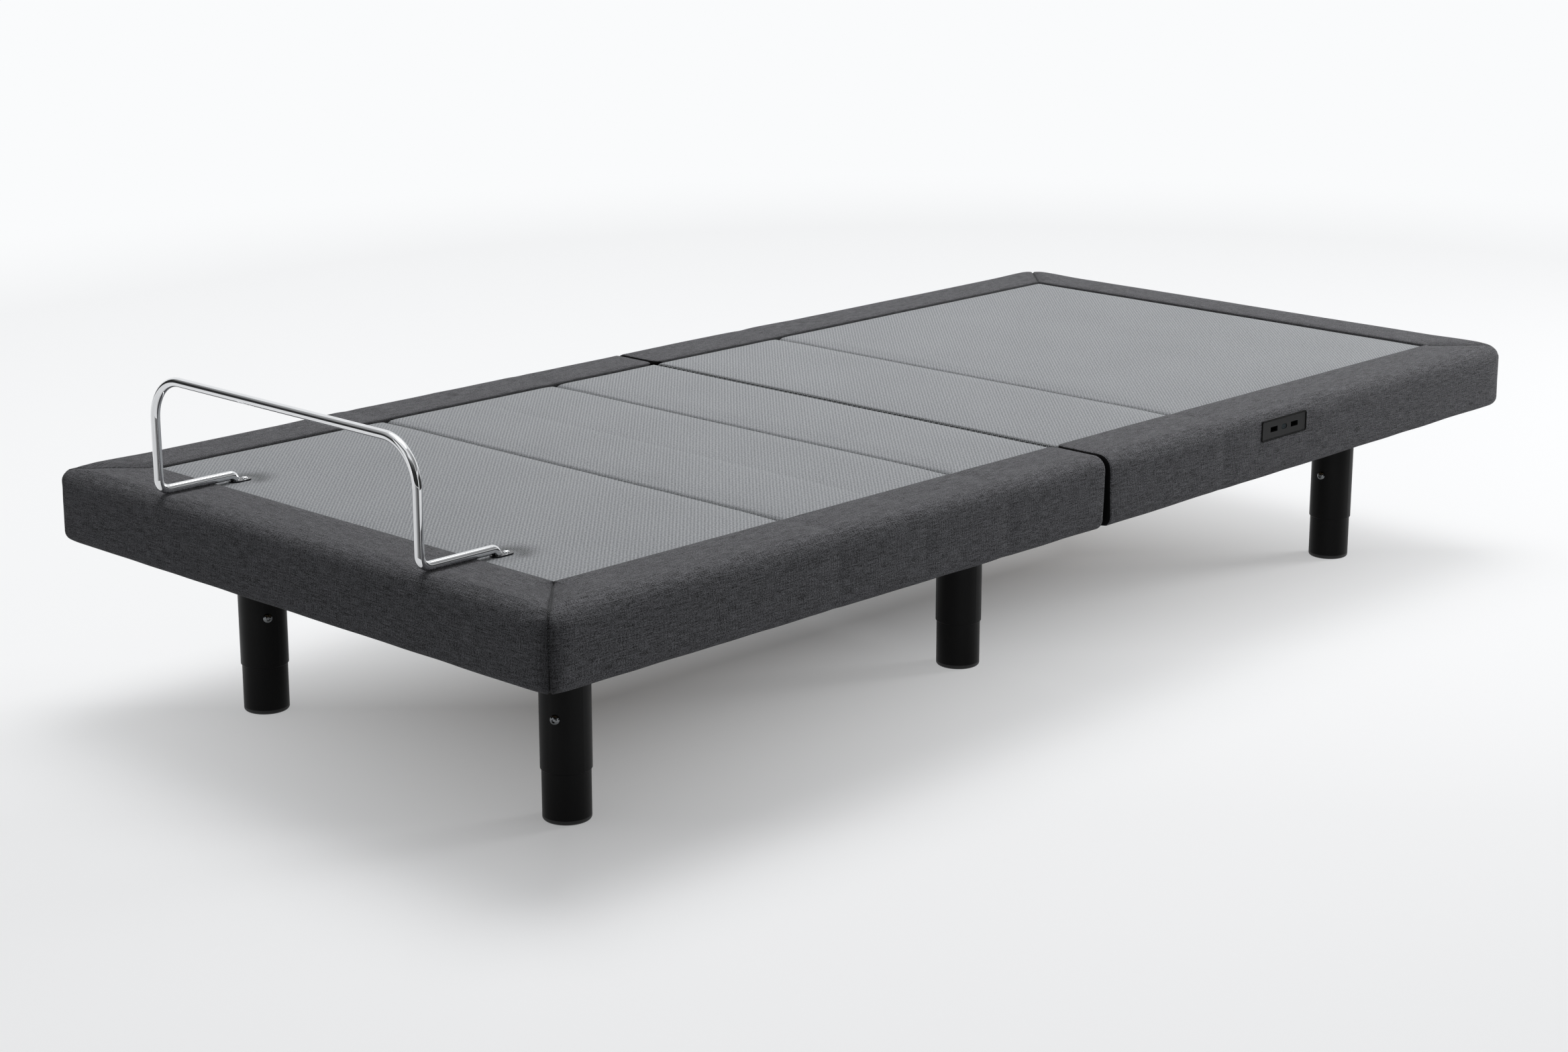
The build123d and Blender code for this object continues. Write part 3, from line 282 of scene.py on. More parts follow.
def moulded_plastic(name, dark, light, roughness, gloss=0.5):
    """Injection-moulded ABS, nylon or rubber with a fine spark-eroded texture."""
    material, tree, shader = new_material(name, Specular_IOR_Level=gloss)
    place = add_node(tree, "ShaderNodeTexCoord").outputs["Object"]
    spark = grain(tree, place, 0.7, 2.0)
    cloud = grain(tree, place, 40, 2.0)
    matt = add_node(tree, "ShaderNodeMapRange", {0: spark, 1: 0.3, 2: 0.7, 3: roughness - 0.05,
                                                 4: roughness + 0.08})
    dress(tree, shader, two_tone(tree, cloud, dark, light), spark, 0.06, 0.4, Roughness=matt)
    return material


def birch_plywood():
    """Rotary-cut birch plywood: pale tan faces with long cathedral grain and dark glue lines on the edges."""
    material, tree, shader = new_material("birch_plywood", Roughness=0.62, Specular_IOR_Level=0.35)
    place = add_node(tree, "ShaderNodeTexCoord").outputs["Object"]
    figure = grain(tree, place, (60, 480, 1.5), 4.0)
    pores = grain(tree, place, (1.2, 28, 1.2), 2.0)
    # Veneers are 1.5 mm thick
    plies = wave_along(tree, place, (0, 0, 1), 3.0)
    tone = weighted_sum(tree, (figure, 0.65), (pores, 0.35))
    face = two_tone(tree, tone, "#a98a62", "#d0b48a", 0.35, 0.65)
    edge = two_tone(tree, plies, "#7d6242", "#c9ab80")
    normal = add_node(tree, "ShaderNodeNewGeometry").outputs["True Normal"]
    upright = add_node(tree, "ShaderNodeSeparateXYZ", {0: normal}).outputs["Z"]
    flat = add_node(tree, "ShaderNodeMath", {0: upright}, operation="ABSOLUTE")
    on_face = add_node(tree, "ShaderNodeMapRange", {0: flat, 1: 0.1, 2: 0.3})
    colour = add_node(tree, "ShaderNodeMix", {0: on_face, 6: edge, 7: face}, data_type="RGBA")
    dress(tree, shader, colour, pores, 0.15, 0.4)
    return material


def light_lens():
    """Clear-tinted polycarbonate lens over an unlit lamp."""
    material, tree, shader = new_material("smoked_polycarbonate", Roughness=0.12, Coat_Weight=0.5)
    place = add_node(tree, "ShaderNodeTexCoord").outputs["Object"]
    facets = grain(tree, place, 1.1, 1.0)
    feed(tree, shader, {"Base Color": two_tone(tree, facets, "#1b2023", "#4a5357")})
    return material


linen = upholstery_linen()
knit = deck_knit()
thread = sewing_thread()
lining_and_split_shade = seam_lining()
chrome = bright_metal("polished_chrome", "#d9dadc", "#e9eaeb", 0.03)
satin_abs = moulded_plastic("satin_black_abs", "#0d0e0f", "#151617", 0.4, 0.3)
# Black rubber, used as painted shade in the plate's rim and inside the sockets
black_rubber_as_shade = moulded_plastic("black_rubber_as_shade", "#040404", "#0a0a0a", 0.7, 0.1)
black_oxide = bright_metal("black_oxide_steel", "#2c2d2f", "#454648", 0.16)
black_nickel = bright_metal("black_nickel_steel", "#5c5e60", "#7c7e80", 0.14)
finishes = {
    "charcoal_fabric": linen,
    "grey_mesh": knit,
    "plywood": birch_plywood(),
    "black_paint": powder_coat("black_powder_coat", "#060606", "#0d0d0e", 0.42),
    "zinc_steel": bright_metal("zinc_plated_steel", "#a7aaac", "#c8cbcc", 0.34, 0.5),
    "chrome": chrome,
    "black_plastic": moulded_plastic("black_abs", "#1a1b1d", "#26272a", 0.45),
    "cap_plastic": moulded_plastic("black_nylon", "#111112", "#19191a", 0.5),
    "aluminium_tube": bright_metal("drawn_aluminium", "#b9bbbd", "#d2d4d5", 0.3, 0.6),
    "socket_metal": bright_metal("nickel_plated_steel", "#8d9092", "#b4b6b8", 0.25),
    "light_plastic": light_lens(),
}
for node_object in nodes.values():
    for place_on_node in node_object.material_slots:
        place_on_node.material = finishes[place_on_node.material.name]
nodes["retainer_clamps"].material_slots[0].material = black_oxide
nodes["charging_plate"].material_slots[0].material = satin_abs
# The sockets are black, which paints the shade inside the ports
nodes["charging_sockets"].material_slots[0].material = black_rubber_as_shade


# Meshes

def place_in_scene(name, mesh):
    """An object at the origin that shows a mesh."""
    made = bpy.data.objects.new(name, mesh)
    bpy.context.scene.collection.objects.link(made)
    return made


def mesh_piece(name, points, faces, materials, corner_uvs, sharp_faces, lined_faces):
    """A closed piece from points in millimetres; its sharp and lined faces take the last material."""
    mesh = bpy.data.meshes.new(name)
    mesh.from_pydata((np.asarray(points) * MM).tolist(), [], faces)
    layer = mesh.uv_layers.new(name="cloth")
    layer.data.foreach_set("uv", (np.asarray(corner_uvs, float) * MM).ravel())
    work = bmesh.new()
    work.from_mesh(mesh)
    work.faces.ensure_lookup_table()
    for index in lined_faces:
        work.faces[index].material_index = len(materials) - 1
    for index in sharp_faces:
        work.faces[index].material_index = len(materials) - 1
        for edge in work.faces[index].edges:
            edge.smooth = False
    bmesh.ops.triangulate(work, faces=[work.faces[i] for i in sharp_faces])
    bmesh.ops.recalc_face_normals(work, faces=work.faces)
    for face in work.faces:
        face.smooth = True
    work.to_mesh(mesh)
    work.free()
    for material in materials:
        mesh.materials.append(material)
    return place_in_scene(name, mesh)


def loft_faces(rings, across, along, offset):
    """Points, faces, cloth coordinates, end faces and strips of a closed skin through equally long rings."""
    count, width = rings.shape[:2]
    flat, index = np.unique(np.round(rings.reshape(-1, 3), 4), axis=0, return_inverse=True)
    index = index.reshape(count, width) + offset
    faces, uvs, strips = [], [], []
    for i in range(count - 1):
        for j in range(width):
            k = (j + 1) % width
            quad = [(index[i, j], across[j], along[i]),
                    (index[i, k], across[j + 1], along[i]),
                    (index[i + 1, k], across[j + 1], along[i + 1]),
                    (index[i + 1, j], across[j], along[i + 1])]
            kept = [c for n, c in enumerate(quad) if c[0] != quad[n - 1][0]]
            if len({c[0] for c in kept}) == len(kept) and len(kept) > 2:
                faces.append([int(c[0]) for c in kept])
                strips.append(i)
                uvs += [(c[1], c[2]) for c in kept]
    ends = []
    for ring, order in ((0, -1), (count - 1, 1)):
        ends.append(len(faces))
        faces.append([int(n) for n in index[ring, ::order]])
        uvs += [(rings[ring, j, 0] + rings[ring, j, 1], rings[ring, j, 2]) for j in range(width)[::order]]
    return flat, faces, uvs, ends, strips


def loft_piece(name, parts, materials):
    """One piece from lofts, each given as rings, their cloth coordinates and the strips lined at each end."""
    points, faces, uvs, ends, lined = [], [], [], [], []
    for rings, across, along, lined_start, lined_end in parts:
        offset = sum(len(p) for p in points)
        flat, more, more_uvs, more_ends, strips = loft_faces(rings, across, along, offset)
        ends += [e + len(faces) for e in more_ends]
        lined += [len(faces) + n for n, i in enumerate(strips)
                  if i < lined_start or i >= len(rings) - 1 - lined_end]
        points.append(flat)
        faces += more
        uvs += more_uvs
    return mesh_piece(name, np.concatenate(points), faces, materials, uvs, ends, lined)


def dip(distance, width):
    """Smooth hollow: 1 at no distance, falling off over the width."""
    return np.exp(-(distance / width) ** 2)


def round_off(distance, radius):
    """How far a rounded edge has fallen away at a distance in from it."""
    short = np.clip(radius - distance, 0, radius)
    return radius - np.sqrt(radius ** 2 - short ** 2)


def folds(points, height, size, seed):
    """Heights of soft folds at points in millimetres, of about the given height and size."""
    start = Vector((seed, seed, seed))
    values = [noise.noise(Vector(p) / size + start) for p in points.reshape(-1, 3)]
    return height * np.array(values).reshape(points.shape[:-1])


def steps(start, end, spacing):
    """Evenly spaced values from start up to, but not including, end."""
    count = max(1, round(abs(end - start) / spacing))
    return list(np.linspace(start, end, count + 1)[:-1])


def off_seam(x, y):
    """Signed distance of points in plan from the mitred seam of the nearest corner."""
    return (np.abs(x) - HALF_W - np.abs(y) + HALF_L) / math.sqrt(2)


def off_deck(x, y):
    """How far points lie outside the deck's edge in plan."""
    return np.maximum(np.abs(x) - INNER_HALF_W, np.abs(y) - INNER_HALF_L)


def in_corner(x, y):
    """True for points of the border's corners."""
    return (np.abs(x) > INNER_HALF_W + ON_EDGE) & (np.abs(y) > INNER_HALF_L + ON_EDGE)


# Border: a padded rail of one section, swept round three sides of each half, with mitred corners
STATION_SPACING = 7.5
SPLIT_STEPS = (0, 0.25, 0.9, 2.0, 3.4, 5, 8)
BORDER_CREASE_STEPS = (-24, -16, -10, -6, -3, 0, 3, 6, 10, 16, 24)
CLEAR_OF_SPLIT = 30.0
CORNER_TURNS = (0, 8, 15, 22, 28, 34, 38, 41, 43, 45, 47, 49, 52, 56, 62, 68, 75, 82, 90)
# Points nearer to an edge than this count as on it, and an unwanted point is put far away
ON_EDGE = 1.0
FAR = 1000.0
# Faint folds, as their height, size and seed, in cloth that is drawn in a little before it swells
DRAWN_IN = 0.4
LONG_FOLDS = (0.35, 140.0, 3.1)
SHORT_FOLDS = (0.12, 45.0, 7.7)
HEM_FOLDS = (0.7, 70.0, 12.3)
# Hollow where the cloth is pulled in over a crease
BORDER_CREASE_DEPTH = 0.6
CREASE_REACH = 13.0
# Corner seam: a fine groove, the cloth drawn in beside it, and its opening at the hem
GROOVE_DEPTH = 2.4
GROOVE_W = 1.5
SEAM_DRAW = 1.1
SEAM_DRAW_W = 11.0
SEAM_OPENING = 3.5
SEAM_OPENING_H = 12.0
# Flat place for the charging plate, with a pocket behind it in the outer skin
PLATE_LOW, PLATE_HIGH = corners("charging_plate")
PLATE_MIDDLE = (PLATE_LOW + PLATE_HIGH) / 2
FLAT_HALF_L = 75.0
FLAT_BOTTOM = 280.0
FLAT_DEPTH = 0.35
POCKET_HALF_L = 41.0
POCKET_HALF_H = 7.0
POCKET_DEPTH = 21.0
SKIN_INSET = 3.0
# Ends at the split: rounded, lined in black cloth that also paints the shade in the gap, with a gap that
# widens towards the hem
SPLIT_ROUND = 5.0
SPLIT_FLARE = 4.0
SPLIT_FLARE_CURVE = 1.3
SPLIT_FLARE_REACH = 130.0
SPLIT_INNER_R = 12.0
SPLIT_INNER_REACH = 45.0
SPLIT_LINED = 3
# The hem hangs a little below the rail, from this far under the top, and turns in this far past its rounding
HEM_DROP = 6.0
HANG_START = 25.0
HEM_TURN_IN = 6.0


def rail_section():
    """Outline of the rail from its inner bottom edge, over the top and round the hem, as (inset, height)."""
    points = []

    def line(start, end, count):
        points.extend(np.linspace(start, end, count + 1)[:-1])

    def arc(centre, radius, turn_start, count):
        for turn in np.radians(np.linspace(turn_start, turn_start + 90, count + 1)[:-1]):
            points.append((centre[0] + radius * math.cos(turn), centre[1] + radius * math.sin(turn)))

    top_inner = BORDER_TOP - INNER_EDGE_R
    line((BORDER, BOARD_TOP), (BORDER, top_inner), 4)
    arc((BORDER - INNER_EDGE_R, top_inner), INNER_EDGE_R, 0, 4)
    line((BORDER - INNER_EDGE_R, BORDER_TOP), (TOP_EDGE_R, BORDER_TOP), 11)
    arc((TOP_EDGE_R, BORDER_TOP - TOP_EDGE_R), TOP_EDGE_R, 90, 9)
    line((0, BORDER_TOP - TOP_EDGE_R), (0, HEM + HEM_R), 10)
    arc((HEM_R, HEM + HEM_R), HEM_R, 180, 6)
    line((HEM_R, HEM), (SKIRT - HEM_INNER_R, HEM), 3)
    arc((SKIRT - HEM_INNER_R, HEM + HEM_INNER_R), HEM_INNER_R, 270, 3)
    line((SKIRT, HEM + HEM_INNER_R), (SKIRT, BOARD_TOP), 8)
    line((SKIRT, BOARD_TOP), (BORDER, BOARD_TOP), 7)
    return np.array(points)


def side_stations(split_y, end):
    """Y values down one side from the split to the end of the straight, closer together at the creases."""
    stop = end * INNER_HALF_L
    first = min(end * split_y + CLEAR_OF_SPLIT, end * stop)
    marks = [split_y + end * t for t in SPLIT_STEPS]
    fine = [c + step for c in CREASES for step in BORDER_CREASE_STEPS] + [THIGH_JOIN_Y]
    fine = sorted([y for y in fine if first < end * y < end * stop], key=lambda y: end * y)
    for target in fine + [stop]:
        marks += steps(marks[-1], target, STATION_SPACING)[1:] + [target]
    return marks


def outline_stations(split_y, end):
    """Points round three sides of a half: outer point, outward direction and inner point of each section."""
    inner_corner = np.array([INNER_HALF_W, end * INNER_HALF_L])
    corner_r = CORNER_RADII[end]
    stations = []
    for y in side_stations(split_y, end):
        stations.append(((HALF_W, y), (1, 0), (INNER_HALF_W, y)))
    arc_start = end * (HALF_L - corner_r)
    for y in steps(end * INNER_HALF_L, arc_start, STATION_SPACING)[1:]:
        stations.append(((HALF_W, y), (1, 0), inner_corner))
    centre = np.array([HALF_W - corner_r, arc_start])
    for turn in np.radians(CORNER_TURNS):
        out = np.array([math.cos(turn), end * math.sin(turn)])
        stations.append((centre + corner_r * out, out, inner_corner))
    for x in steps(HALF_W - corner_r, INNER_HALF_W, STATION_SPACING)[1:]:
        stations.append(((x, end * HALF_L), (0, end), inner_corner))
    for x in steps(INNER_HALF_W, 0, STATION_SPACING) + [0]:
        stations.append(((x, end * HALF_L), (0, end), (x, end * INNER_HALF_L)))
    stations = [tuple(np.array(part, float) for part in s) for s in stations]
    flip = np.array([-1, 1])
    return stations + [tuple(part * flip for part in s) for s in stations[-2::-1]]


def border_rings(split_y, end):
    """Rings of points of a half's padded border, with the cloth coordinates along it."""
    section = rail_section()
    inset, height = section.T
    ahead = np.roll(section, -1, 0) - np.roll(section, 1, 0)
    ahead /= np.linalg.norm(ahead, axis=1)[:, None]
    normal_in, normal_up = ahead[:, 1], -ahead[:, 0]
    outer, out, inner = (np.array(part) for part in zip(*outline_stations(split_y, end)))
    reach = ROUND_REACHES[end]
    knuckle = outer - reach * out
    share = np.clip((inset - reach) / (BORDER - reach), 0, 1)
    plan = (outer[:, None] - out[:, None] * np.minimum(inset, reach)[None, :, None]
            + (inner - knuckle)[:, None] * share[None, :, None])
    upright = plan.shape[:2] + (1,)
    rings = np.concatenate([plan, np.broadcast_to(height[None, :, None], upright)], axis=2)
    normals = np.concatenate([-out[:, None] * normal_in[None, :, None],
                              np.broadcast_to(normal_up[None, :, None], upright)], axis=2)
    x, y, z = rings[..., 0], rings[..., 1], rings[..., 2]
    on_top = np.clip(normal_up, 0, 1)[None, :] * (inset < BORDER - ON_EDGE)[None, :]
    on_side = np.clip(-normal_in, 0, 1)[None, :]
    on_hem = ((height < HEM + HEM_R) & (inset < HEM_R + HEM_TURN_IN))[None, :]
    outside = np.clip(on_top + on_side + on_hem, 0, 1)

    relief = outside * (folds(rings, *LONG_FOLDS) + folds(rings, *SHORT_FOLDS) - DRAWN_IN)
    for crease_y in CREASES:
        relief = relief - outside * BORDER_CREASE_DEPTH * dip(y - crease_y, CREASE_REACH)
    from_seam = off_seam(x, y)
    groove = (GROOVE_DEPTH + SEAM_OPENING * dip(z - HEM, SEAM_OPENING_H)) * dip(from_seam, GROOVE_W)
    drawn = SEAM_DRAW * dip(from_seam, SEAM_DRAW_W)
    relief = relief - outside * (in_corner(x, y) & (y * end > 0)) * (groove + drawn)
    # The side lies flat behind the charging plate, with a pocket for the sockets
    from_plate = np.abs(y - PLATE_MIDDLE[1])
    near_plate = (x > 0) & (from_plate < FLAT_HALF_L) & (z > FLAT_BOTTOM)
    relief = np.where(near_plate, np.minimum(relief, -FLAT_DEPTH * on_side), relief)
    pocket = near_plate & (from_plate < POCKET_HALF_L) & (np.abs(z - PLATE_MIDDLE[2]) < POCKET_HALF_H)
    relief = np.where(pocket & (inset < SKIN_INSET)[None, :], -POCKET_DEPTH, relief)
    from_split = np.abs(y - split_y) + FAR * (np.abs(x) < INNER_HALF_W - ON_EDGE)
    relief = relief - outside * round_off(from_split, SPLIT_ROUND)
    rings = rings + normals * relief[..., None]
    flare = SPLIT_FLARE * np.clip((BORDER_TOP - z) / (BORDER_TOP - HEM), 0, 1) ** SPLIT_FLARE_CURVE
    rings[..., 1] += end * flare * np.clip(1 - from_split / SPLIT_FLARE_REACH, 0, 1) ** 2
    # The end's inner corner is rounded in plan
    turn_in = round_off(BORDER - inset, SPLIT_INNER_R) * (height > BOARD_TOP + ON_EDGE)
    rings[..., 1] += end * turn_in * np.clip(1 - from_split / SPLIT_INNER_REACH, 0, 1) ** 2
    head_share = np.clip((y - split_y) / HALF_L, 0, 1) if end > 0 else 0.0
    hang_top = BORDER_TOP - HANG_START
    rings[..., 2] -= HEM_DROP * (1 - head_share) * np.clip((hang_top - z) / (hang_top - HEM), 0, 1)
    rings[..., 2] += outside * (z < HEM + 2 * HEM_R) * folds(rings, *HEM_FOLDS)

    around = np.linalg.norm(np.roll(section, -1, 0) - section, axis=1)
    ahead = np.linalg.norm(np.diff(outer, axis=0), axis=1)
    return rings, np.concatenate([[0], np.cumsum(around)]), np.concatenate([[0], np.cumsum(ahead)]), outer


def lofts_between(rings, across, along, spans):
    """Lofts over spans of rings, lined where a span starts or ends at the split."""
    last = len(rings) - 1
    return [(rings[a:b + 1], across, along[a:b + 1], SPLIT_LINED * (a == 0), SPLIT_LINED * (b == last))
            for a, b in spans]


# Retainer bar's place, which the covers keep clear of
bar_low, bar_high = corners("retainer_bar")
BAR_R = 6.0
bar_x, bar_y = bar_high[0] - BAR_R, bar_low[1] + BAR_R
bar_top, bar_tail = bar_high[2] - BAR_R, bar_high[1] - BAR_R

# Deck covers: a knit top over thin foam, drawn down along the creases and pressed in at the bar's clamps
DECK_SPACING = 8.0
DECK_SIDE_STEPS = (0, 1, 2.4, 4.5)
DECK_END_STEPS = (0, 1, 2.4, 4.5, 8, 12)
DECK_CREASE_STEPS = (-14, -10, -7, -5, -3.4, -2, -1, 0, 1, 2, 3.4, 5, 7, 10, 14)
SIDE_CLEAR = 10.0
END_CLEAR = 14.0
DECK_GAP = 0.4
DECK_CROWN = 1.0
CROWN_REACH = 60.0
DECK_EDGE_R = 4.0
EDGE_SHARE = 0.8
DECK_UNDERSIDE = BOARD_TOP + 0.4
DECK_SIDE_CLOTH = 22.0
DECK_FOLDS = (0.35, 120.0, 5.2)
# A crease is steep on its foot side and gentle, with fine crinkles, on its head side
CREASE_DEPTH = 7.0
CREASE_DRAW = 1.0
CREASE_STEEP = 2.4
CREASE_GENTLE = 5.5
CRINKLES = (0.45, 6.0, 33.0)
CRINKLE_PLACE = 4.0
CRINKLE_REACH = 6.0
# Each clamp prints an oval in the deck, with small puckers round it
CLAMP_LOW, CLAMP_HIGH = corners("retainer_clamps")
CLAMP_W = 17.0
CLAMP_X = CLAMP_HIGH[0] - CLAMP_W / 2
CLAMP_Y = (CLAMP_LOW[1] + CLAMP_HIGH[1]) / 2
PRINT_W = 17.0
PRINT_L = 19.0
PRINT_STRAIGHT = 8.0
CLAMP_SINK = 0.15
CLAMP_DISH = 0.9
PUCKERS = 11
PUCKER_H = 0.4
# Measured from a clamp as shares of its print
PUCKER_PLACE = 1.15
PUCKER_REACH = 0.45
DISH_REACH = 1.9

# Swelling of the wadding under the covers
PUFF_FRAMES = 10
PUFF_STEPS = 3
BORDER_PRESSURE = 5.0
DECK_PRESSURE = 1.0
BORDER_SWELL = 1.1
DECK_SWELL = 0.9
# How near to what holds it a point is held: along and up for the plate, across and along for a clamp
BORDER_HELD = {"crease": 3.5, "split": 8.0, "seam": 2.5, "deck": 5.0, "hem": 8.0, "plate": (70.0, 26.0),
               "bar": 14.0}
DECK_HELD = {"crease": 9.0, "split": 10.0, "edge": 8.0, "clamp": (26.0, 36.0)}
# Points this near to the outer face, or this little below a top, belong to it
FACE_DEPTH = 6.0
TOP_DEPTH = 4.0
# Strength and width of the lines of painted shade that the materials draw, and where some of them fade
SHADES = {"foot_split": (1.0, 1.5), "head_split": (1.0, 4.5), "crease_steep": (1.0, 1.4),
          "crease_gentle": (1.0, 6.0), "clamp": (0.75, 0.75), "seam": (0.9, 1.2), "beside_seam": (0.5, 13.0),
          "deck_seam": (0.75, 2.5)}
CLAMP_SHADE_PLACE = 1.1
CLAMP_SHADE_FADE = 16.0
CLAMP_SHADE_LEAST = 0.25
SEAM_SHADE_START = 6.0
SEAM_SHADE_FADE = 20.0
DECK_SEAM_DEPTH = 12.0


def from_clamp(x, y, clamp_x):
    """Distance of points from a clamp in plan, where 1 is the edge of its print in the deck."""
    return np.hypot((x - clamp_x) / PRINT_W, np.clip(np.abs(y - CLAMP_Y) - PRINT_STRAIGHT, 0, None) / PRINT_L)


def deck_rings(low_y, high_y, low_r, high_r):
    """Rings across a half's deck cover from its foot end to its head end, with the cloth coordinates."""
    half = INNER_HALF_W - DECK_GAP
    xs = [-half + t for t in DECK_SIDE_STEPS]
    inner = half - SIDE_CLEAR
    xs = xs + steps(-inner, inner, DECK_SPACING) + [inner] + [-x for x in xs[::-1]]
    marks = [low_y + t for t in DECK_END_STEPS]
    fine = [c + step for c in CREASES for step in DECK_CREASE_STEPS] + [THIGH_JOIN_Y]
    fine = sorted(y for y in fine if marks[-1] < y < high_y - END_CLEAR)
    for target in fine + [high_y - DECK_END_STEPS[-1]]:
        marks += steps(marks[-1], target, DECK_SPACING)[1:] + [target]
    marks += [high_y - t for t in DECK_END_STEPS[-2::-1]]
    ys = np.array(marks)
    x, y = np.meshgrid(np.array(xs), ys)
    from_side, from_low, from_high = half - np.abs(x), y - low_y, high_y - y
    from_end = np.minimum(from_low, from_high)
    crown = DECK_CROWN * np.clip(from_side / CROWN_REACH, 0, 1) * np.clip(from_end / CROWN_REACH, 0, 1)
    place = np.stack([x, y, np.zeros(x.shape)], axis=2)
    top = DECK_TOP + crown + folds(place, *DECK_FOLDS)
    crinkles = folds(place, *CRINKLES)
    for crease_y in CREASES:
        gap = y - crease_y
        top = top - CREASE_DEPTH * dip(gap, np.where(gap < 0, CREASE_STEEP, CREASE_GENTLE))
        top = top - CREASE_DRAW * dip(gap, CREASE_REACH) + crinkles * dip(gap - CRINKLE_PLACE, CRINKLE_REACH)
    for clamp_x in (-CLAMP_X, CLAMP_X):
        away = from_clamp(x, y, clamp_x)
        ripple = np.cos(PUCKERS * np.arctan2(y - CLAMP_Y, x - clamp_x))
        pucker = PUCKER_H * ripple * dip(away - PUCKER_PLACE, PUCKER_REACH)
        press = np.exp(-away ** 4)
        dish = CLAMP_DISH * dip(away, DISH_REACH) * (1 - press)
        top = top * (1 - press) + (DECK_TOP - CLAMP_SINK) * press - dish + pucker
    for away, radius in ((from_side, DECK_EDGE_R), (from_low, low_r), (from_high, high_r)):
        top = top - EDGE_SHARE * round_off(away, radius)
    upper = np.stack([x, y, top], axis=2)
    lower = np.stack([x[:, ::-1], y, np.full(x.shape, DECK_UNDERSIDE)], axis=2)
    under = xs[-1] + np.array(xs) - xs[0] + DECK_SIDE_CLOTH
    across = np.concatenate([xs, under, [under[-1] + DECK_SIDE_CLOTH]])
    return np.concatenate([upper, lower], axis=1), across, ys


def piece_points(piece):
    """X, Y and Z of a piece's points, in millimetres."""
    return np.array([v.co for v in piece.data.vertices]).T / MM


def puff(piece, loose, pressure, reach):
    """Swells the loose points of a cover with the pressure of its wadding, none further than the reach."""
    scene = bpy.context.scene
    start = np.array([v.co for v in piece.data.vertices])
    held = piece.vertex_groups.new(name="held")
    held.add(np.flatnonzero(~loose).tolist(), 1.0, "REPLACE")
    cloth = piece.modifiers.new("wadding", "CLOTH")
    cloth.settings.vertex_group_mass = held.name
    cloth.settings.quality = PUFF_STEPS
    cloth.settings.use_pressure = True
    cloth.settings.uniform_pressure_force = pressure
    cloth.settings.effector_weights.gravity = 0.0
    cloth.collision_settings.use_collision = False
    for frame_number in range(1, PUFF_FRAMES + 1):
        scene.frame_set(frame_number)
    swollen = piece.evaluated_get(bpy.context.evaluated_depsgraph_get()).to_mesh()
    moved = np.array([v.co for v in swollen.vertices]) - start
    far = np.linalg.norm(moved, axis=1)
    moved *= np.minimum(1, reach * MM / np.maximum(far, 1e-9))[:, None]
    piece.modifiers.remove(cloth)
    piece.vertex_groups.remove(held)
    piece.data.vertices.foreach_set("co", (start + moved).ravel())
    piece.data.update()
    scene.frame_set(1)


def near_lines(y, held):
    """True for points that are held by a crease, the split or the join of the foot half's covers."""
    lines = [(crease_y, held["crease"]) for crease_y in CREASES]
    lines += [(FOOT_HALF_END, held["split"]), (HEAD_HALF_END, held["split"]), (THIGH_JOIN_Y, ON_EDGE)]
    return np.any([np.abs(y - line_y) < reach for line_y, reach in lines], axis=0)


def loose_border(piece):
    """True for the points of a border that can swell: its top and outer side, away from what holds them."""
    x, y, z = piece_points(piece)
    held = BORDER_HELD
    on_face = np.minimum(HALF_W - np.abs(x), HALF_L - np.abs(y)) < FACE_DEPTH
    skin = (z > BORDER_TOP - TOP_EDGE_R) | on_face
    skin = skin & (off_deck(x, y) > held["deck"]) & (z > HEM + held["hem"])
    sewn = (np.abs(off_seam(x, y)) < held["seam"]) & (np.abs(y) > INNER_HALF_L)
    beside_plate = np.abs(y - PLATE_MIDDLE[1]) < held["plate"][0]
    under_plate = (x > 0) & beside_plate & (np.abs(z - PLATE_MIDDLE[2]) < held["plate"][1])
    under_bar = (np.abs(np.abs(x) - bar_x) < held["bar"]) & (y < bar_tail) & (z > BORDER_TOP - TOP_DEPTH)
    return skin & ~sewn & ~near_lines(y, held) & ~under_plate & ~under_bar


def loose_deck(piece):
    """True for the points of a deck cover's top that can swell, away from its edges, creases and clamps."""
    x, y, z = piece_points(piece)
    held = DECK_HELD
    sewn = near_lines(y, held) | (off_deck(x, y) > -held["edge"])
    beside_clamp = np.abs(np.abs(x) - CLAMP_X) < held["clamp"][0]
    clamped = beside_clamp & (np.abs(y - CLAMP_Y) < held["clamp"][1])
    return (z > DECK_TOP - TOP_DEPTH) & ~sewn & ~clamped


def mark(piece, name, values):
    """Stores one value for each point of a piece, for its material."""
    attribute = piece.data.attributes.new(name, "FLOAT", "POINT")
    attribute.data.foreach_set("value", values.astype(np.float32))


def shade_line(kind, distance):
    """How dark a line of some kind is at a distance from its middle."""
    strength, width = SHADES[kind]
    return strength * dip(distance, width)


def mark_valley_shades(piece):
    """Marks painted shade where the knit is drawn down: in a crease, at the split and in the folds behind a
    clamp.
    """
    x, y, z = piece_points(piece)
    shades = [shade_line("foot_split", y - FOOT_HALF_END), shade_line("head_split", y - HEAD_HALF_END)]
    for crease_y in CREASES:
        gap = y - crease_y
        shades.append(np.where(gap < 0, shade_line("crease_steep", gap), shade_line("crease_gentle", gap)))
    behind = np.clip((y - CLAMP_Y) / CLAMP_SHADE_FADE, CLAMP_SHADE_LEAST, 1)
    for clamp_x in (-CLAMP_X, CLAMP_X):
        shades.append(behind * shade_line("clamp", from_clamp(x, y, clamp_x) - CLAMP_SHADE_PLACE))
    mark(piece, "valley_shade", np.max(shades, axis=0))


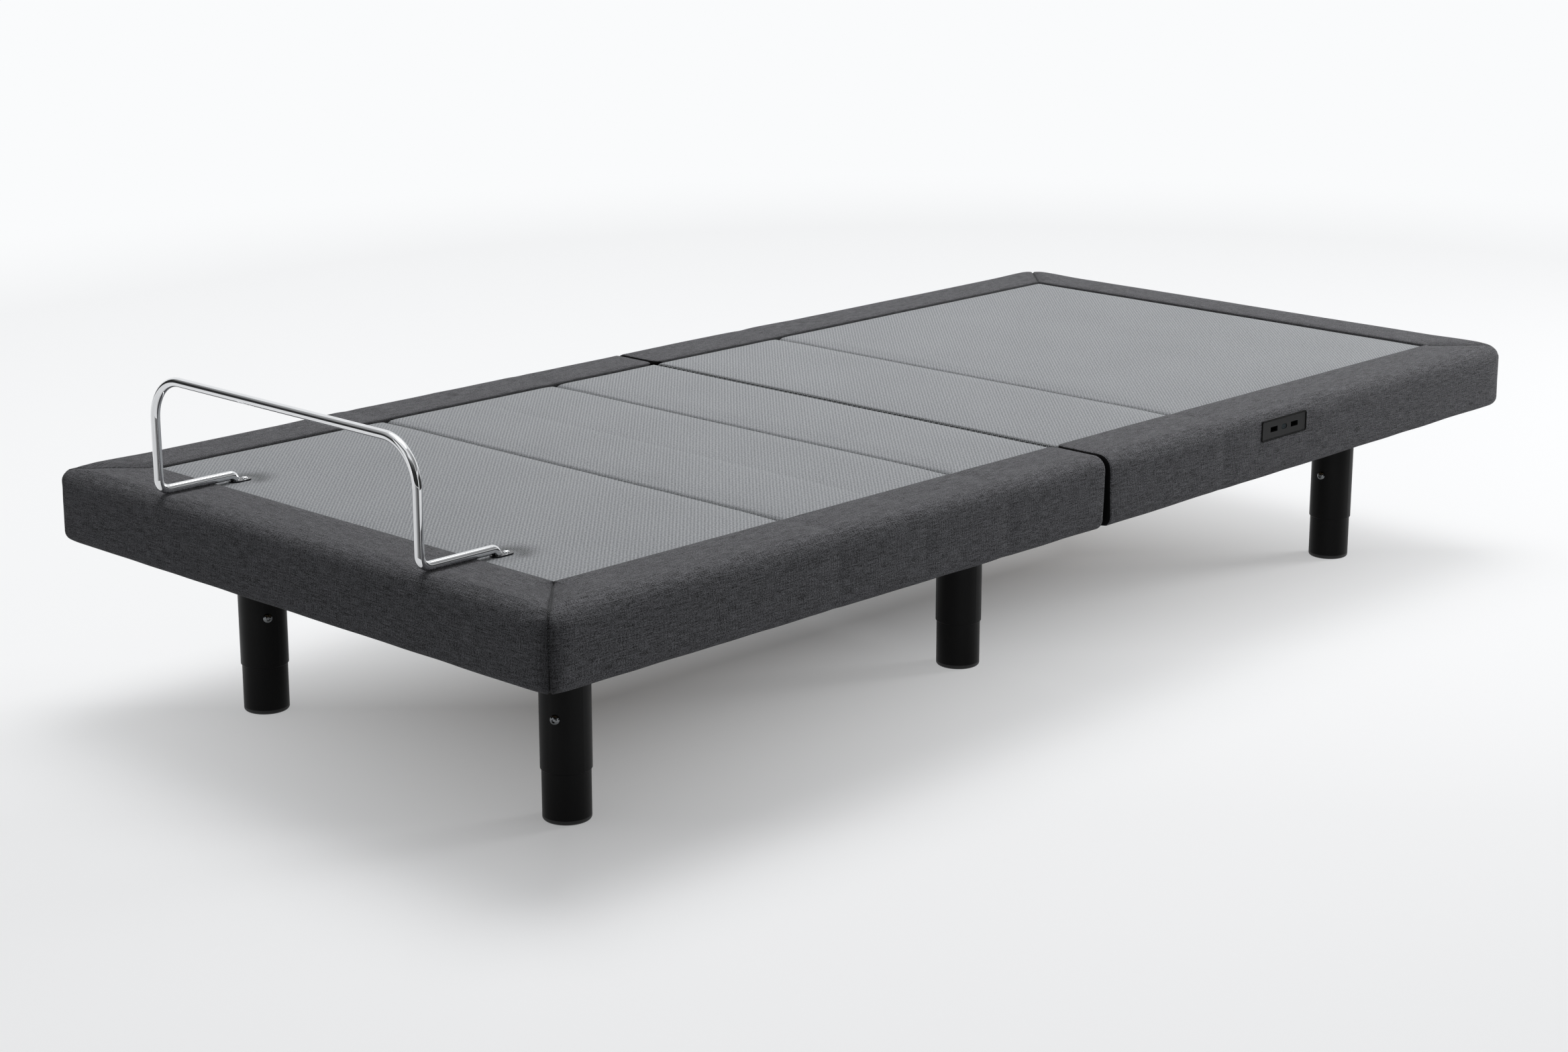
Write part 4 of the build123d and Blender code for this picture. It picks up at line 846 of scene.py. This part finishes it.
def mark_seam_shades(piece):
    """Marks painted shade on the border: along the mitred corner seams, over the cloth drawn in beside them,
    and at the deck's edge.
    """
    x, y, z = piece_points(piece)
    from_seam = off_seam(x, y)
    below = np.clip((BORDER_TOP - SEAM_SHADE_START - z) / SEAM_SHADE_FADE, 0, 1)
    corner_seam = np.maximum(shade_line("seam", from_seam), below * shade_line("beside_seam", from_seam))
    deck_seam = shade_line("deck_seam", off_deck(x, y)) * (z > BORDER_TOP - DECK_SEAM_DEPTH)
    mark(piece, "seam", np.maximum(in_corner(x, y) * corner_seam, deck_seam))


def nearest_ring(values, target):
    """Index of the ring whose place is nearest to a target."""
    return int(np.argmin(np.abs(np.asarray(values) - target)))


def bend_over(piece, body_low, body_high, crease_y, length):
    """Bakes a piece's transform into its mesh; the bodies, the crease and the length are not used, so the
    piece does not turn over the crease.
    """
    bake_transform(piece)


foot_rings, rail_across, foot_along, foot_outer = border_rings(FOOT_HALF_END, -1)
head_rings, _, head_along, head_outer = border_rings(HEAD_HALF_END, 1)
join_right = nearest_ring(foot_outer[:len(foot_outer) // 2, 1], THIGH_JOIN_Y)
join_left = len(foot_outer) - 1 - join_right

head_lofts = lofts_between(head_rings, rail_across, head_along, [(0, len(head_outer) - 1)])
seat_spans = [(0, join_right), (join_left, len(foot_outer) - 1)]
seat_lofts = lofts_between(foot_rings, rail_across, foot_along, seat_spans)
calf_lofts = lofts_between(foot_rings, rail_across, foot_along, [(join_right, join_left)])
head_border = loft_piece("head_border", head_lofts, [linen, lining_and_split_shade])
seat_border = loft_piece("seat_border", seat_lofts, [linen, lining_and_split_shade])
calf_border = loft_piece("calf_border", calf_lofts, [linen, lining_and_split_shade])

deck_foot, deck_across, deck_foot_y = deck_rings(DECK_GAP - INNER_HALF_L, FOOT_HALF_END,
                                                 DECK_EDGE_R, SPLIT_ROUND)
deck_head, _, deck_head_y = deck_rings(HEAD_HALF_END, INNER_HALF_L - DECK_GAP, SPLIT_ROUND, DECK_EDGE_R)
join = nearest_ring(deck_foot_y, THIGH_JOIN_Y)
head_deck = loft_piece("head_deck_cover", [(deck_head, deck_across, deck_head_y, 0, 0)], [knit])
seat_deck = loft_piece("seat_deck_cover", [(deck_foot[join:], deck_across, deck_foot_y[join:], 0, 0)], [knit])
calf_deck = loft_piece("calf_deck_cover", [(deck_foot[:join + 1], deck_across, deck_foot_y[:join + 1], 0, 0)],
                       [knit])

for piece in (head_border, seat_border, calf_border):
    puff(piece, loose_border(piece), BORDER_PRESSURE, BORDER_SWELL)
for piece in (head_deck, seat_deck, calf_deck):
    puff(piece, loose_deck(piece), DECK_PRESSURE, DECK_SWELL)
for piece in (head_border, head_deck):
    bend_over(piece, "base", "back_section", BACK_Y, BACK_TURN)
for piece in (seat_border, seat_deck):
    bend_over(piece, "base", "thigh_section", HIP_Y, HIP_TURN)
for piece in (calf_border, calf_deck):
    bend_over(piece, "thigh_section", "calf_section", KNEE_Y, KNEE_TURN)
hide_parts("back_rails", "middle_rails")
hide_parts("middle_rails", "thigh_rails")
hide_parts("thigh_rails", "calf_rails")
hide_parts("back_pad", "lumbar_pad")
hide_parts("seat_pad", "thigh_pad")
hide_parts("thigh_pad", "calf_pad")
for piece in (head_border, seat_border, calf_border):
    mark_seam_shades(piece)
for piece in (head_deck, seat_deck, calf_deck):
    mark_valley_shades(piece)


# Rods, screws and stitches, grown with Geometry Nodes

def growing_tree(name, sizes):
    """A tree with a geometry input and one named input for each size, and those inputs' sockets."""
    tree = bpy.data.node_groups.new(name, "GeometryNodeTree")
    tree.interface.new_socket("Geometry", in_out="INPUT", socket_type="NodeSocketGeometry")
    for size in sizes:
        tree.interface.new_socket(size, in_out="INPUT", socket_type="NodeSocketFloat")
    tree.interface.new_socket("Geometry", in_out="OUTPUT", socket_type="NodeSocketGeometry")
    return tree, add_node(tree, "NodeGroupInput").outputs


def end_tree(tree, geometry, material):
    """Smooth faces with crisp edges where they meet at an angle, as one real mesh of one material."""
    smooth = add_node(tree, "GeometryNodeSetShadeSmooth", {"Geometry": geometry})
    turn = add_node(tree, "GeometryNodeInputMeshEdgeAngle").outputs["Unsigned Angle"]
    corner = add_node(tree, "FunctionNodeCompare", {0: turn, 1: math.radians(40)}, data_type="FLOAT",
                      operation="GREATER_THAN")
    crisp = add_node(tree, "GeometryNodeSetShadeSmooth", {"Geometry": smooth, "Selection": corner,
                                                          "Shade Smooth": False}, domain="EDGE")
    real = add_node(tree, "GeometryNodeRealizeInstances", {"Geometry": crisp})
    coated = add_node(tree, "GeometryNodeSetMaterial", {"Geometry": real, "Material": material})
    add_node(tree, "NodeGroupOutput", {"Geometry": coated})


def bent_rod(material):
    """Round rod along lines, with each corner bent to the radius in its bend attribute."""
    tree, sizes = growing_tree("bent_rod", ["Radius"])
    line = add_node(tree, "GeometryNodeMeshToCurve", {"Mesh": sizes["Geometry"]})
    bend = add_node(tree, "GeometryNodeInputNamedAttribute", {"Name": "bend"}, data_type="FLOAT")
    bent = add_node(tree, "GeometryNodeFilletCurve", {"Curve": line, "Count": 16, "Radius": bend},
                    mode="POLY")
    ring = add_node(tree, "GeometryNodeCurvePrimitiveCircle", {"Resolution": 28, "Radius": sizes["Radius"]})
    rod = add_node(tree, "GeometryNodeCurveToMesh", {"Curve": bent, "Profile Curve": ring, "Fill Caps": True})
    end_tree(tree, rod, material)
    return tree


def button_screws(material):
    """A domed screw head with a hexagon socket at each point, facing along the point's facing attribute."""
    tree, sizes = growing_tree("button_screws", ["Head Radius", "Head Height", "Socket Radius"])
    radius, height = sizes["Head Radius"], sizes["Head Height"]
    ball = add_node(tree, "GeometryNodeMeshUVSphere", {"Segments": 32, "Rings": 24, "Radius": 1.0})
    shape = add_node(tree, "ShaderNodeCombineXYZ", {0: radius, 1: radius, 2: height})
    dome = add_node(tree, "GeometryNodeTransform", {"Geometry": ball, "Scale": shape})
    socket = add_node(tree, "GeometryNodeMeshCylinder", {"Vertices": 6, "Radius": sizes["Socket Radius"],
                                                         "Depth": height})
    lift = add_node(tree, "ShaderNodeCombineXYZ", {2: height})
    socket_cut = add_node(tree, "GeometryNodeTransform", {"Geometry": socket, "Translation": lift})
    # A block that cuts off the lower half of the ball
    below = add_node(tree, "GeometryNodeMeshCube", {"Size": (0.1, 0.1, 0.02)})
    below_cut = add_node(tree, "GeometryNodeTransform", {"Geometry": below, "Translation": (0, 0, -0.01)})
    cuts = add_node(tree, "GeometryNodeJoinGeometry", {0: socket_cut})
    feed(tree, cuts, {0: below_cut})
    head = add_node(tree, "GeometryNodeMeshBoolean", {"Mesh 1": dome, "Mesh 2": cuts}, operation="DIFFERENCE")
    facing = add_node(tree, "GeometryNodeInputNamedAttribute", {"Name": "facing"}, data_type="FLOAT_VECTOR")
    turn = add_node(tree, "FunctionNodeAlignRotationToVector", {"Vector": facing}, axis="Z")
    placed = add_node(tree, "GeometryNodeInstanceOnPoints", {"Points": sizes["Geometry"], "Instance": head,
                                                             "Rotation": turn})
    end_tree(tree, placed, material)
    return tree


def stitch_rows(material):
    """Rounded stitches of thread along lines, one in each pitch."""
    tree, sizes = growing_tree("stitch_rows", ["Pitch", "Length", "Thickness"])
    line = add_node(tree, "GeometryNodeMeshToCurve", {"Mesh": sizes["Geometry"]})
    spaced = add_node(tree, "GeometryNodeResampleCurve", {"Curve": line, "Length": sizes["Pitch"]},
                      mode="LENGTH")
    bead = add_node(tree, "GeometryNodeMeshUVSphere", {"Segments": 8, "Rings": 6, "Radius": 0.5})
    shape = add_node(tree, "ShaderNodeCombineXYZ", {0: sizes["Length"], 1: sizes["Thickness"],
                                                    2: sizes["Thickness"]})
    loop = add_node(tree, "GeometryNodeTransform", {"Geometry": bead, "Scale": shape})
    along = add_node(tree, "GeometryNodeInputTangent")
    turn = add_node(tree, "FunctionNodeAlignRotationToVector", {"Vector": along}, axis="X")
    placed = add_node(tree, "GeometryNodeInstanceOnPoints", {"Points": spaced, "Instance": loop,
                                                             "Rotation": turn})
    end_tree(tree, placed, material)
    return tree


def grow(name, lines, tree, sizes, closed=False, **marks):
    """A plain mesh grown by a tree along lines in millimetres; marks are attributes of the lines' points."""
    points = np.concatenate([np.asarray(line, float) for line in lines])
    edges = []
    for line in lines if len(lines[0]) > 1 else []:
        start = edges[-1][1] + 1 if edges else 0
        edges += [(start + i, start + i + 1) for i in range(len(line) - 1)]
    if closed:
        edges.append((len(points) - 1, 0))
    mesh = bpy.data.meshes.new(name)
    mesh.from_pydata((points * MM).tolist(), edges, [])
    for mark_name, values in marks.items():
        values = np.asarray(values, np.float32)
        vector = values.ndim == 2
        attribute = mesh.attributes.new(mark_name, "FLOAT_VECTOR" if vector else "FLOAT", "POINT")
        attribute.data.foreach_set("vector" if vector else "value", values.ravel())
    made = place_in_scene(name, mesh)
    modifier = made.modifiers.new("grow", "NODES")
    modifier.node_group = tree
    for socket in tree.interface.items_tree:
        if socket.in_out == "INPUT" and socket.name in sizes:
            modifier[socket.identifier] = sizes[socket.name] * MM
    grown = bpy.data.meshes.new_from_object(made.evaluated_get(bpy.context.evaluated_depsgraph_get()))
    made.modifiers.remove(modifier)
    made.data = grown
    return made


# Retainer bar: one bent chromed rod that lies on the border, with its tails down through the deck
BAR_CLEARANCE = 0.3
# Radius of the bend at each of its points
BAR_BENDS = np.array([0, 8, 15, 56, 56, 15, 8, 0])
bar_foot = BORDER_TOP + BAR_CLEARANCE + BAR_R
half_bar = [(bar_x, bar_tail, bar_low[2]), (bar_x, bar_tail, bar_foot), (bar_x, bar_y, bar_foot),
            (bar_x, bar_y, bar_top)]
bar_points = [(-x, y, z) for x, y, z in half_bar] + half_bar[::-1]
bar = grow("chrome_retainer_bar", [bar_points], bent_rod(chrome), {"Radius": BAR_R}, bend=BAR_BENDS * MM)
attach(bar, "calf_section")
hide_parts("retainer_bar")

# Screws: one in each leg sleeve, turned as in the photograph where it shows them, and one in each clamp
LOCK_TURNS = {"foot_right": -65, "foot_left": -25, "mid_right": 135, "mid_left": 200, "head_right": -87,
              "head_left": 160}
LOCK_SCREW = {"Head Radius": 6.5, "Head Height": 5.0, "Socket Radius": 2.9}
CLAMP_SCREW = {"Head Radius": 4.0, "Head Height": 2.7, "Socket Radius": 1.7}
SLEEVE_R = 32.0
LOCK_SEAT = 0.2
CLAMP_SEAT = 0.1
CLAMP_SCREW_FROM_TAIL = 15.0
screw_low, screw_high = corners("leg_lock_screws")
lock_z = (screw_low[2] + screw_high[2]) / 2
lock_places, lock_facing = [], []
for leg_name, turn in LOCK_TURNS.items():
    post_low, post_high = corners("leg_post_" + leg_name)
    facing = np.array([math.cos(math.radians(turn)), math.sin(math.radians(turn)), 0])
    lock_places.append([[*(post_low + post_high)[:2] / 2, lock_z] + (SLEEVE_R - LOCK_SEAT) * facing])
    lock_facing.append(facing)
lock_screws = grow("leg_lock_screw_heads", lock_places, button_screws(black_nickel), LOCK_SCREW,
                   facing=lock_facing)
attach(lock_screws, "base")
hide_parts("leg_lock_screws")
clamp_y, clamp_z = bar_tail + CLAMP_SCREW_FROM_TAIL, CLAMP_HIGH[2] - CLAMP_SEAT
clamp_places = [[(x, clamp_y, clamp_z)] for x in (-bar_x, bar_x)]
clamp_screws = grow("retainer_clamp_screw_heads", clamp_places, button_screws(chrome), CLAMP_SCREW,
                    facing=[(0, 0, 1)] * 2)
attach(clamp_screws, "calf_section")
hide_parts("retainer_screws")

# Stitches in the creases and along the corner seams
CREASE_STITCH = {"Pitch": 5.0, "Length": 3.6, "Thickness": 1.0}
SEAM_STITCH = {"Pitch": 4.0, "Length": 2.9, "Thickness": 0.8}
STITCH_SEAT = np.array([0, 0.6, 0.1])
EDGE_POINTS = len(DECK_SIDE_STEPS)
# Points of the rail's section over its top and most of its side
TOP_AND_SIDE = slice(9, 36)
sewing = stitch_rows(thread)
for stitch_name, crease_y, bodies, turn in (
        ("knee_crease_stitches", KNEE_Y, ("thigh_section", "calf_section"), KNEE_TURN),
        ("hip_crease_stitches", HIP_Y, ("base", "thigh_section"), HIP_TURN),
        ("back_crease_stitches", BACK_Y, ("base", "back_section"), BACK_TURN)):
    rings, stations = (deck_head, deck_head_y) if crease_y == BACK_Y else (deck_foot, deck_foot_y)
    row = rings[nearest_ring(stations, crease_y)]
    row = row[:len(row) // 2][EDGE_POINTS:-EDGE_POINTS] + STITCH_SEAT
    stitches = grow(stitch_name, [row], sewing, CREASE_STITCH)
    bend_over(stitches, *bodies, crease_y, turn)
for stitch_name, rings, outer, body in (("foot_corner_stitches", foot_rings, foot_outer, "calf_section"),
                                        ("head_corner_stitches", head_rings, head_outer, "back_section")):
    x, y = outer.T
    half_way = len(outer) // 2
    from_seam = np.abs(off_seam(x, y)) + FAR * (np.abs(y) < INNER_HALF_L)
    right, left = int(np.argmin(from_seam[:half_way])), half_way + int(np.argmin(from_seam[half_way:]))
    stitches = grow(stitch_name, [rings[right][TOP_AND_SIDE], rings[left][TOP_AND_SIDE]], sewing, SEAM_STITCH)
    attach(stitches, body)

# Charging plate: a black bead round its edge, which paints the shade in the gap round the plate
BEAD_R = 1.3
BEAD_BEND = 3.0
BEAD_SEAT = 0.3
plate_x = PLATE_HIGH[0] - BEAD_SEAT
plate_loop = [(plate_x, PLATE_LOW[1], PLATE_LOW[2]), (plate_x, PLATE_HIGH[1], PLATE_LOW[2]),
              (plate_x, PLATE_HIGH[1], PLATE_HIGH[2]), (plate_x, PLATE_LOW[1], PLATE_HIGH[2])]
plate_bead = grow("charging_plate_shade_bead", [plate_loop], bent_rod(black_rubber_as_shade), {"Radius": BEAD_R},
                  closed=True, bend=np.full(len(plate_loop), BEAD_BEND) * MM)
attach(plate_bead, "back_section")


# Stage: pale floor, white surroundings, soft light from above and from the head's side, all in metres
STUDIO_WHITE = "#fafbfc"
AMBIENT = 0.3
FLOOR_REACH = 40.0
CARD_CENTRE_Y = -1.0
CARD_STEPS = 41
# Name, distance from the retainer bar, turns round it in degrees, heights, and brightness at each height
CARDS = (
    ("bar_card", 1.3, (-84, -25), (0.3, 0.38, 0.92, 1.08, 1.5, 2.6), (0.85, 0.03, 0.03, 0.22, 0.42, 0.65)),
    ("post_card", 1.0, (8, 30, 55, 84), (0.0, 0.35), [(0.9, 0.4, 0.16, 0.03)] * 2),
    ("bend_card", 1.0, (12, 88), (0.36, 0.75, 1.05, 1.3), (0.03, 0.03, 0.15, 0.6)),
    ("brow_card", 1.3, (-24, 40), (1.3, 1.5, 2.0, 2.3), (0.7, 0.1, 0.1, 0.7)),
    ("tail_card", 3.0, (95, 165), (1.45, 1.7, 2.6, 4.5, 9.0), (0.9, 0.22, 0.32, 0.5, 0.65)),
    ("side_card", 2.6, (100, 165), (0.0, 0.8, 1.1, 1.3), (0.02, 0.06, 0.45, 0.95)),
)


def seen_rays(tree):
    """1 for rays from the camera, in reflections and through glass, 0 for rays that only carry light."""
    rays = add_node(tree, "ShaderNodeLightPath").outputs
    seen = rays["Is Camera Ray"]
    for kind in ("Is Glossy Ray", "Is Transmission Ray"):
        seen = add_node(tree, "ShaderNodeMath", {0: seen, 1: rays[kind]}, operation="MAXIMUM")
    direct = add_node(tree, "ShaderNodeMath", {0: rays["Diffuse Depth"], 1: 0.5}, operation="LESS_THAN")
    return add_node(tree, "ShaderNodeMath", {0: seen, 1: direct}, operation="MULTIPLY")


def from_footprint(tree, place):
    """Distance in plan from the outline of the bed, less than 0 under it."""
    apart = add_node(tree, "ShaderNodeVectorMath", {0: place}, operation="ABSOLUTE")
    beyond = add_node(tree, "ShaderNodeVectorMath", {0: apart, 1: (HALF_W * MM, HALF_L * MM, 0)},
                      operation="SUBTRACT")
    sides = add_node(tree, "ShaderNodeSeparateXYZ", {0: beyond}).outputs
    nearest = add_node(tree, "ShaderNodeMath", {0: sides["X"], 1: sides["Y"]}, operation="MAXIMUM")
    under = add_node(tree, "ShaderNodeMath", {0: nearest, 1: 0.0}, operation="MINIMUM")
    outside = add_node(tree, "ShaderNodeVectorMath", {0: beyond}, operation="MAXIMUM")
    clear = add_node(tree, "ShaderNodeVectorMath", {0: outside}, operation="LENGTH")
    return add_node(tree, "ShaderNodeMath", {0: under, 1: clear}, operation="ADD")


def studio_floor():
    """Pale matt floor that keeps shadows and fades to white away from the object."""
    material, tree, shader = new_material("studio_floor")
    tree.nodes.remove(shader)
    place = add_node(tree, "ShaderNodeTexCoord").outputs["Object"]
    seen = seen_rays(tree)
    diffuse = add_node(tree, "ShaderNodeBsdfDiffuse", {"Color": two_tone(tree, seen, "#a9aaac", "#f6f6f7")})
    white = add_node(tree, "ShaderNodeEmission", {"Color": linear(STUDIO_WHITE), "Strength": 1.0})
    away = from_footprint(tree, place)
    slant = math.sqrt(0.5)
    depth = add_node(tree, "ShaderNodeVectorMath", {0: place, 1: (-slant, slant, 0)}, operation="DOT_PRODUCT")
    # The shadow is kept under the bed, is weaker towards its front corner, and fades out far away
    under = add_node(tree, "ShaderNodeMapRange", {0: away, 1: -0.5, 2: 0.1, 3: 0.15, 4: 1.0})
    front = add_node(tree, "ShaderNodeMapRange", {0: depth, 1: -0.8, 2: -0.15, 3: 0.46, 4: 0.8})
    near = add_node(tree, "ShaderNodeMath", {0: under, 1: front}, operation="MULTIPLY")
    far = add_node(tree, "ShaderNodeMapRange", {0: away, 1: 0.1, 2: 3.4}, interpolation_type="SMOOTHSTEP")
    fade = add_node(tree, "ShaderNodeMath", {0: near, 1: far}, operation="MAXIMUM")
    share = add_node(tree, "ShaderNodeMath", {0: fade, 1: seen}, operation="MULTIPLY")
    mixed = add_node(tree, "ShaderNodeMixShader", {0: share, 1: diffuse, 2: white})
    feed(tree, tree.nodes["Material Output"], {"Surface": mixed})
    return material


def white_surroundings():
    """World that is white to the eye and in reflections, and a soft grey as light."""
    world = bpy.data.worlds.new("studio_world")
    bpy.context.scene.world = world
    world.use_nodes = True
    tree = world.node_tree
    strength = add_node(tree, "ShaderNodeMapRange", {0: seen_rays(tree), 3: AMBIENT})
    feed(tree, tree.nodes["Background"], {"Color": linear(STUDIO_WHITE), "Strength": strength})


def graded_card():
    """Card that only reflections see, as bright as its shade attribute says."""
    material, tree, shader = new_material("graded_card")
    tree.nodes.remove(shader)
    shade = add_node(tree, "ShaderNodeAttribute", attribute_name="shade").outputs["Fac"]
    glow = add_node(tree, "ShaderNodeEmission", {"Color": linear(STUDIO_WHITE), "Strength": shade})
    feed(tree, tree.nodes["Material Output"], {"Surface": glow})
    return material


def reflection_card(name, radius, turns, heights, shades, finish):
    """Upright screen on an arc round the bar, graded along it and upwards; it gives chrome its dark bands."""
    fine_turns = np.linspace(turns[0], turns[-1], CARD_STEPS)
    points, values = [], []
    for z, shade in zip(heights, shades):
        values += list(np.interp(fine_turns, turns, np.broadcast_to(shade, len(turns))))
        for turn in np.radians(fine_turns):
            points.append((radius * math.sin(turn), CARD_CENTRE_Y - radius * math.cos(turn), z))
    faces = [(i, i + 1, i + 1 + CARD_STEPS, i + CARD_STEPS) for row in range(len(heights) - 1)
             for i in range(row * CARD_STEPS, row * CARD_STEPS + CARD_STEPS - 1)]
    mesh = bpy.data.meshes.new(name)
    mesh.from_pydata(points, [], faces)
    mesh.materials.append(finish)
    made = place_in_scene(name, mesh)
    mark(made, "shade", np.array(values))
    made.visible_camera = False
    made.visible_diffuse = False
    made.visible_shadow = False
    made.visible_transmission = False


def soft_box(name, place, aim, width, length, power):
    """Rectangular lamp at a place, turned to its aim."""
    lamp = bpy.data.lights.new(name, "AREA")
    lamp.shape = "RECTANGLE"
    lamp.size = width
    lamp.size_y = length
    lamp.energy = power
    made = place_in_scene(name, lamp)
    made.location = place
    made.rotation_euler = (Vector(aim) - Vector(place)).to_track_quat("-Z", "Y").to_euler()


floor_mesh = bpy.data.meshes.new("floor")
floor_mesh.from_pydata([(-FLOOR_REACH, -FLOOR_REACH, 0), (FLOOR_REACH, -FLOOR_REACH, 0),
                        (FLOOR_REACH, FLOOR_REACH, 0), (-FLOOR_REACH, FLOOR_REACH, 0)], [], [(0, 1, 2, 3)])
floor_mesh.materials.append(studio_floor())
place_in_scene("floor", floor_mesh)
white_surroundings()
card_finish = graded_card()
for card in CARDS:
    reflection_card(*card, card_finish)
soft_box("overhead_soft_box", (-0.55, 0.55, 4.4), (0, 0.1, 0.3), 2.8, 2.8, 131.0)
soft_box("head_side_soft_box", (1.6, 3.4, 1.0), (0.5, 1.2, 0.3), 1.2, 0.8, 58.0)

# Camera at the photograph's place, fitted to the bed's edges
CAMERA_PLACE = (2.863, -3.119, 1.2982)
CAMERA_LOOKS_DOWN = 15.191
CAMERA_TURN = 43.763
camera_data = bpy.data.cameras.new("photo_camera")
camera_data.sensor_width = 36.0
camera_data.lens = 69.16
camera = place_in_scene("photo_camera", camera_data)
camera.location = CAMERA_PLACE
camera.rotation_euler = (math.radians(90 - CAMERA_LOOKS_DOWN), 0, math.radians(CAMERA_TURN))
bpy.context.scene.camera = camera
bpy.context.scene.view_settings.view_transform = "Standard"
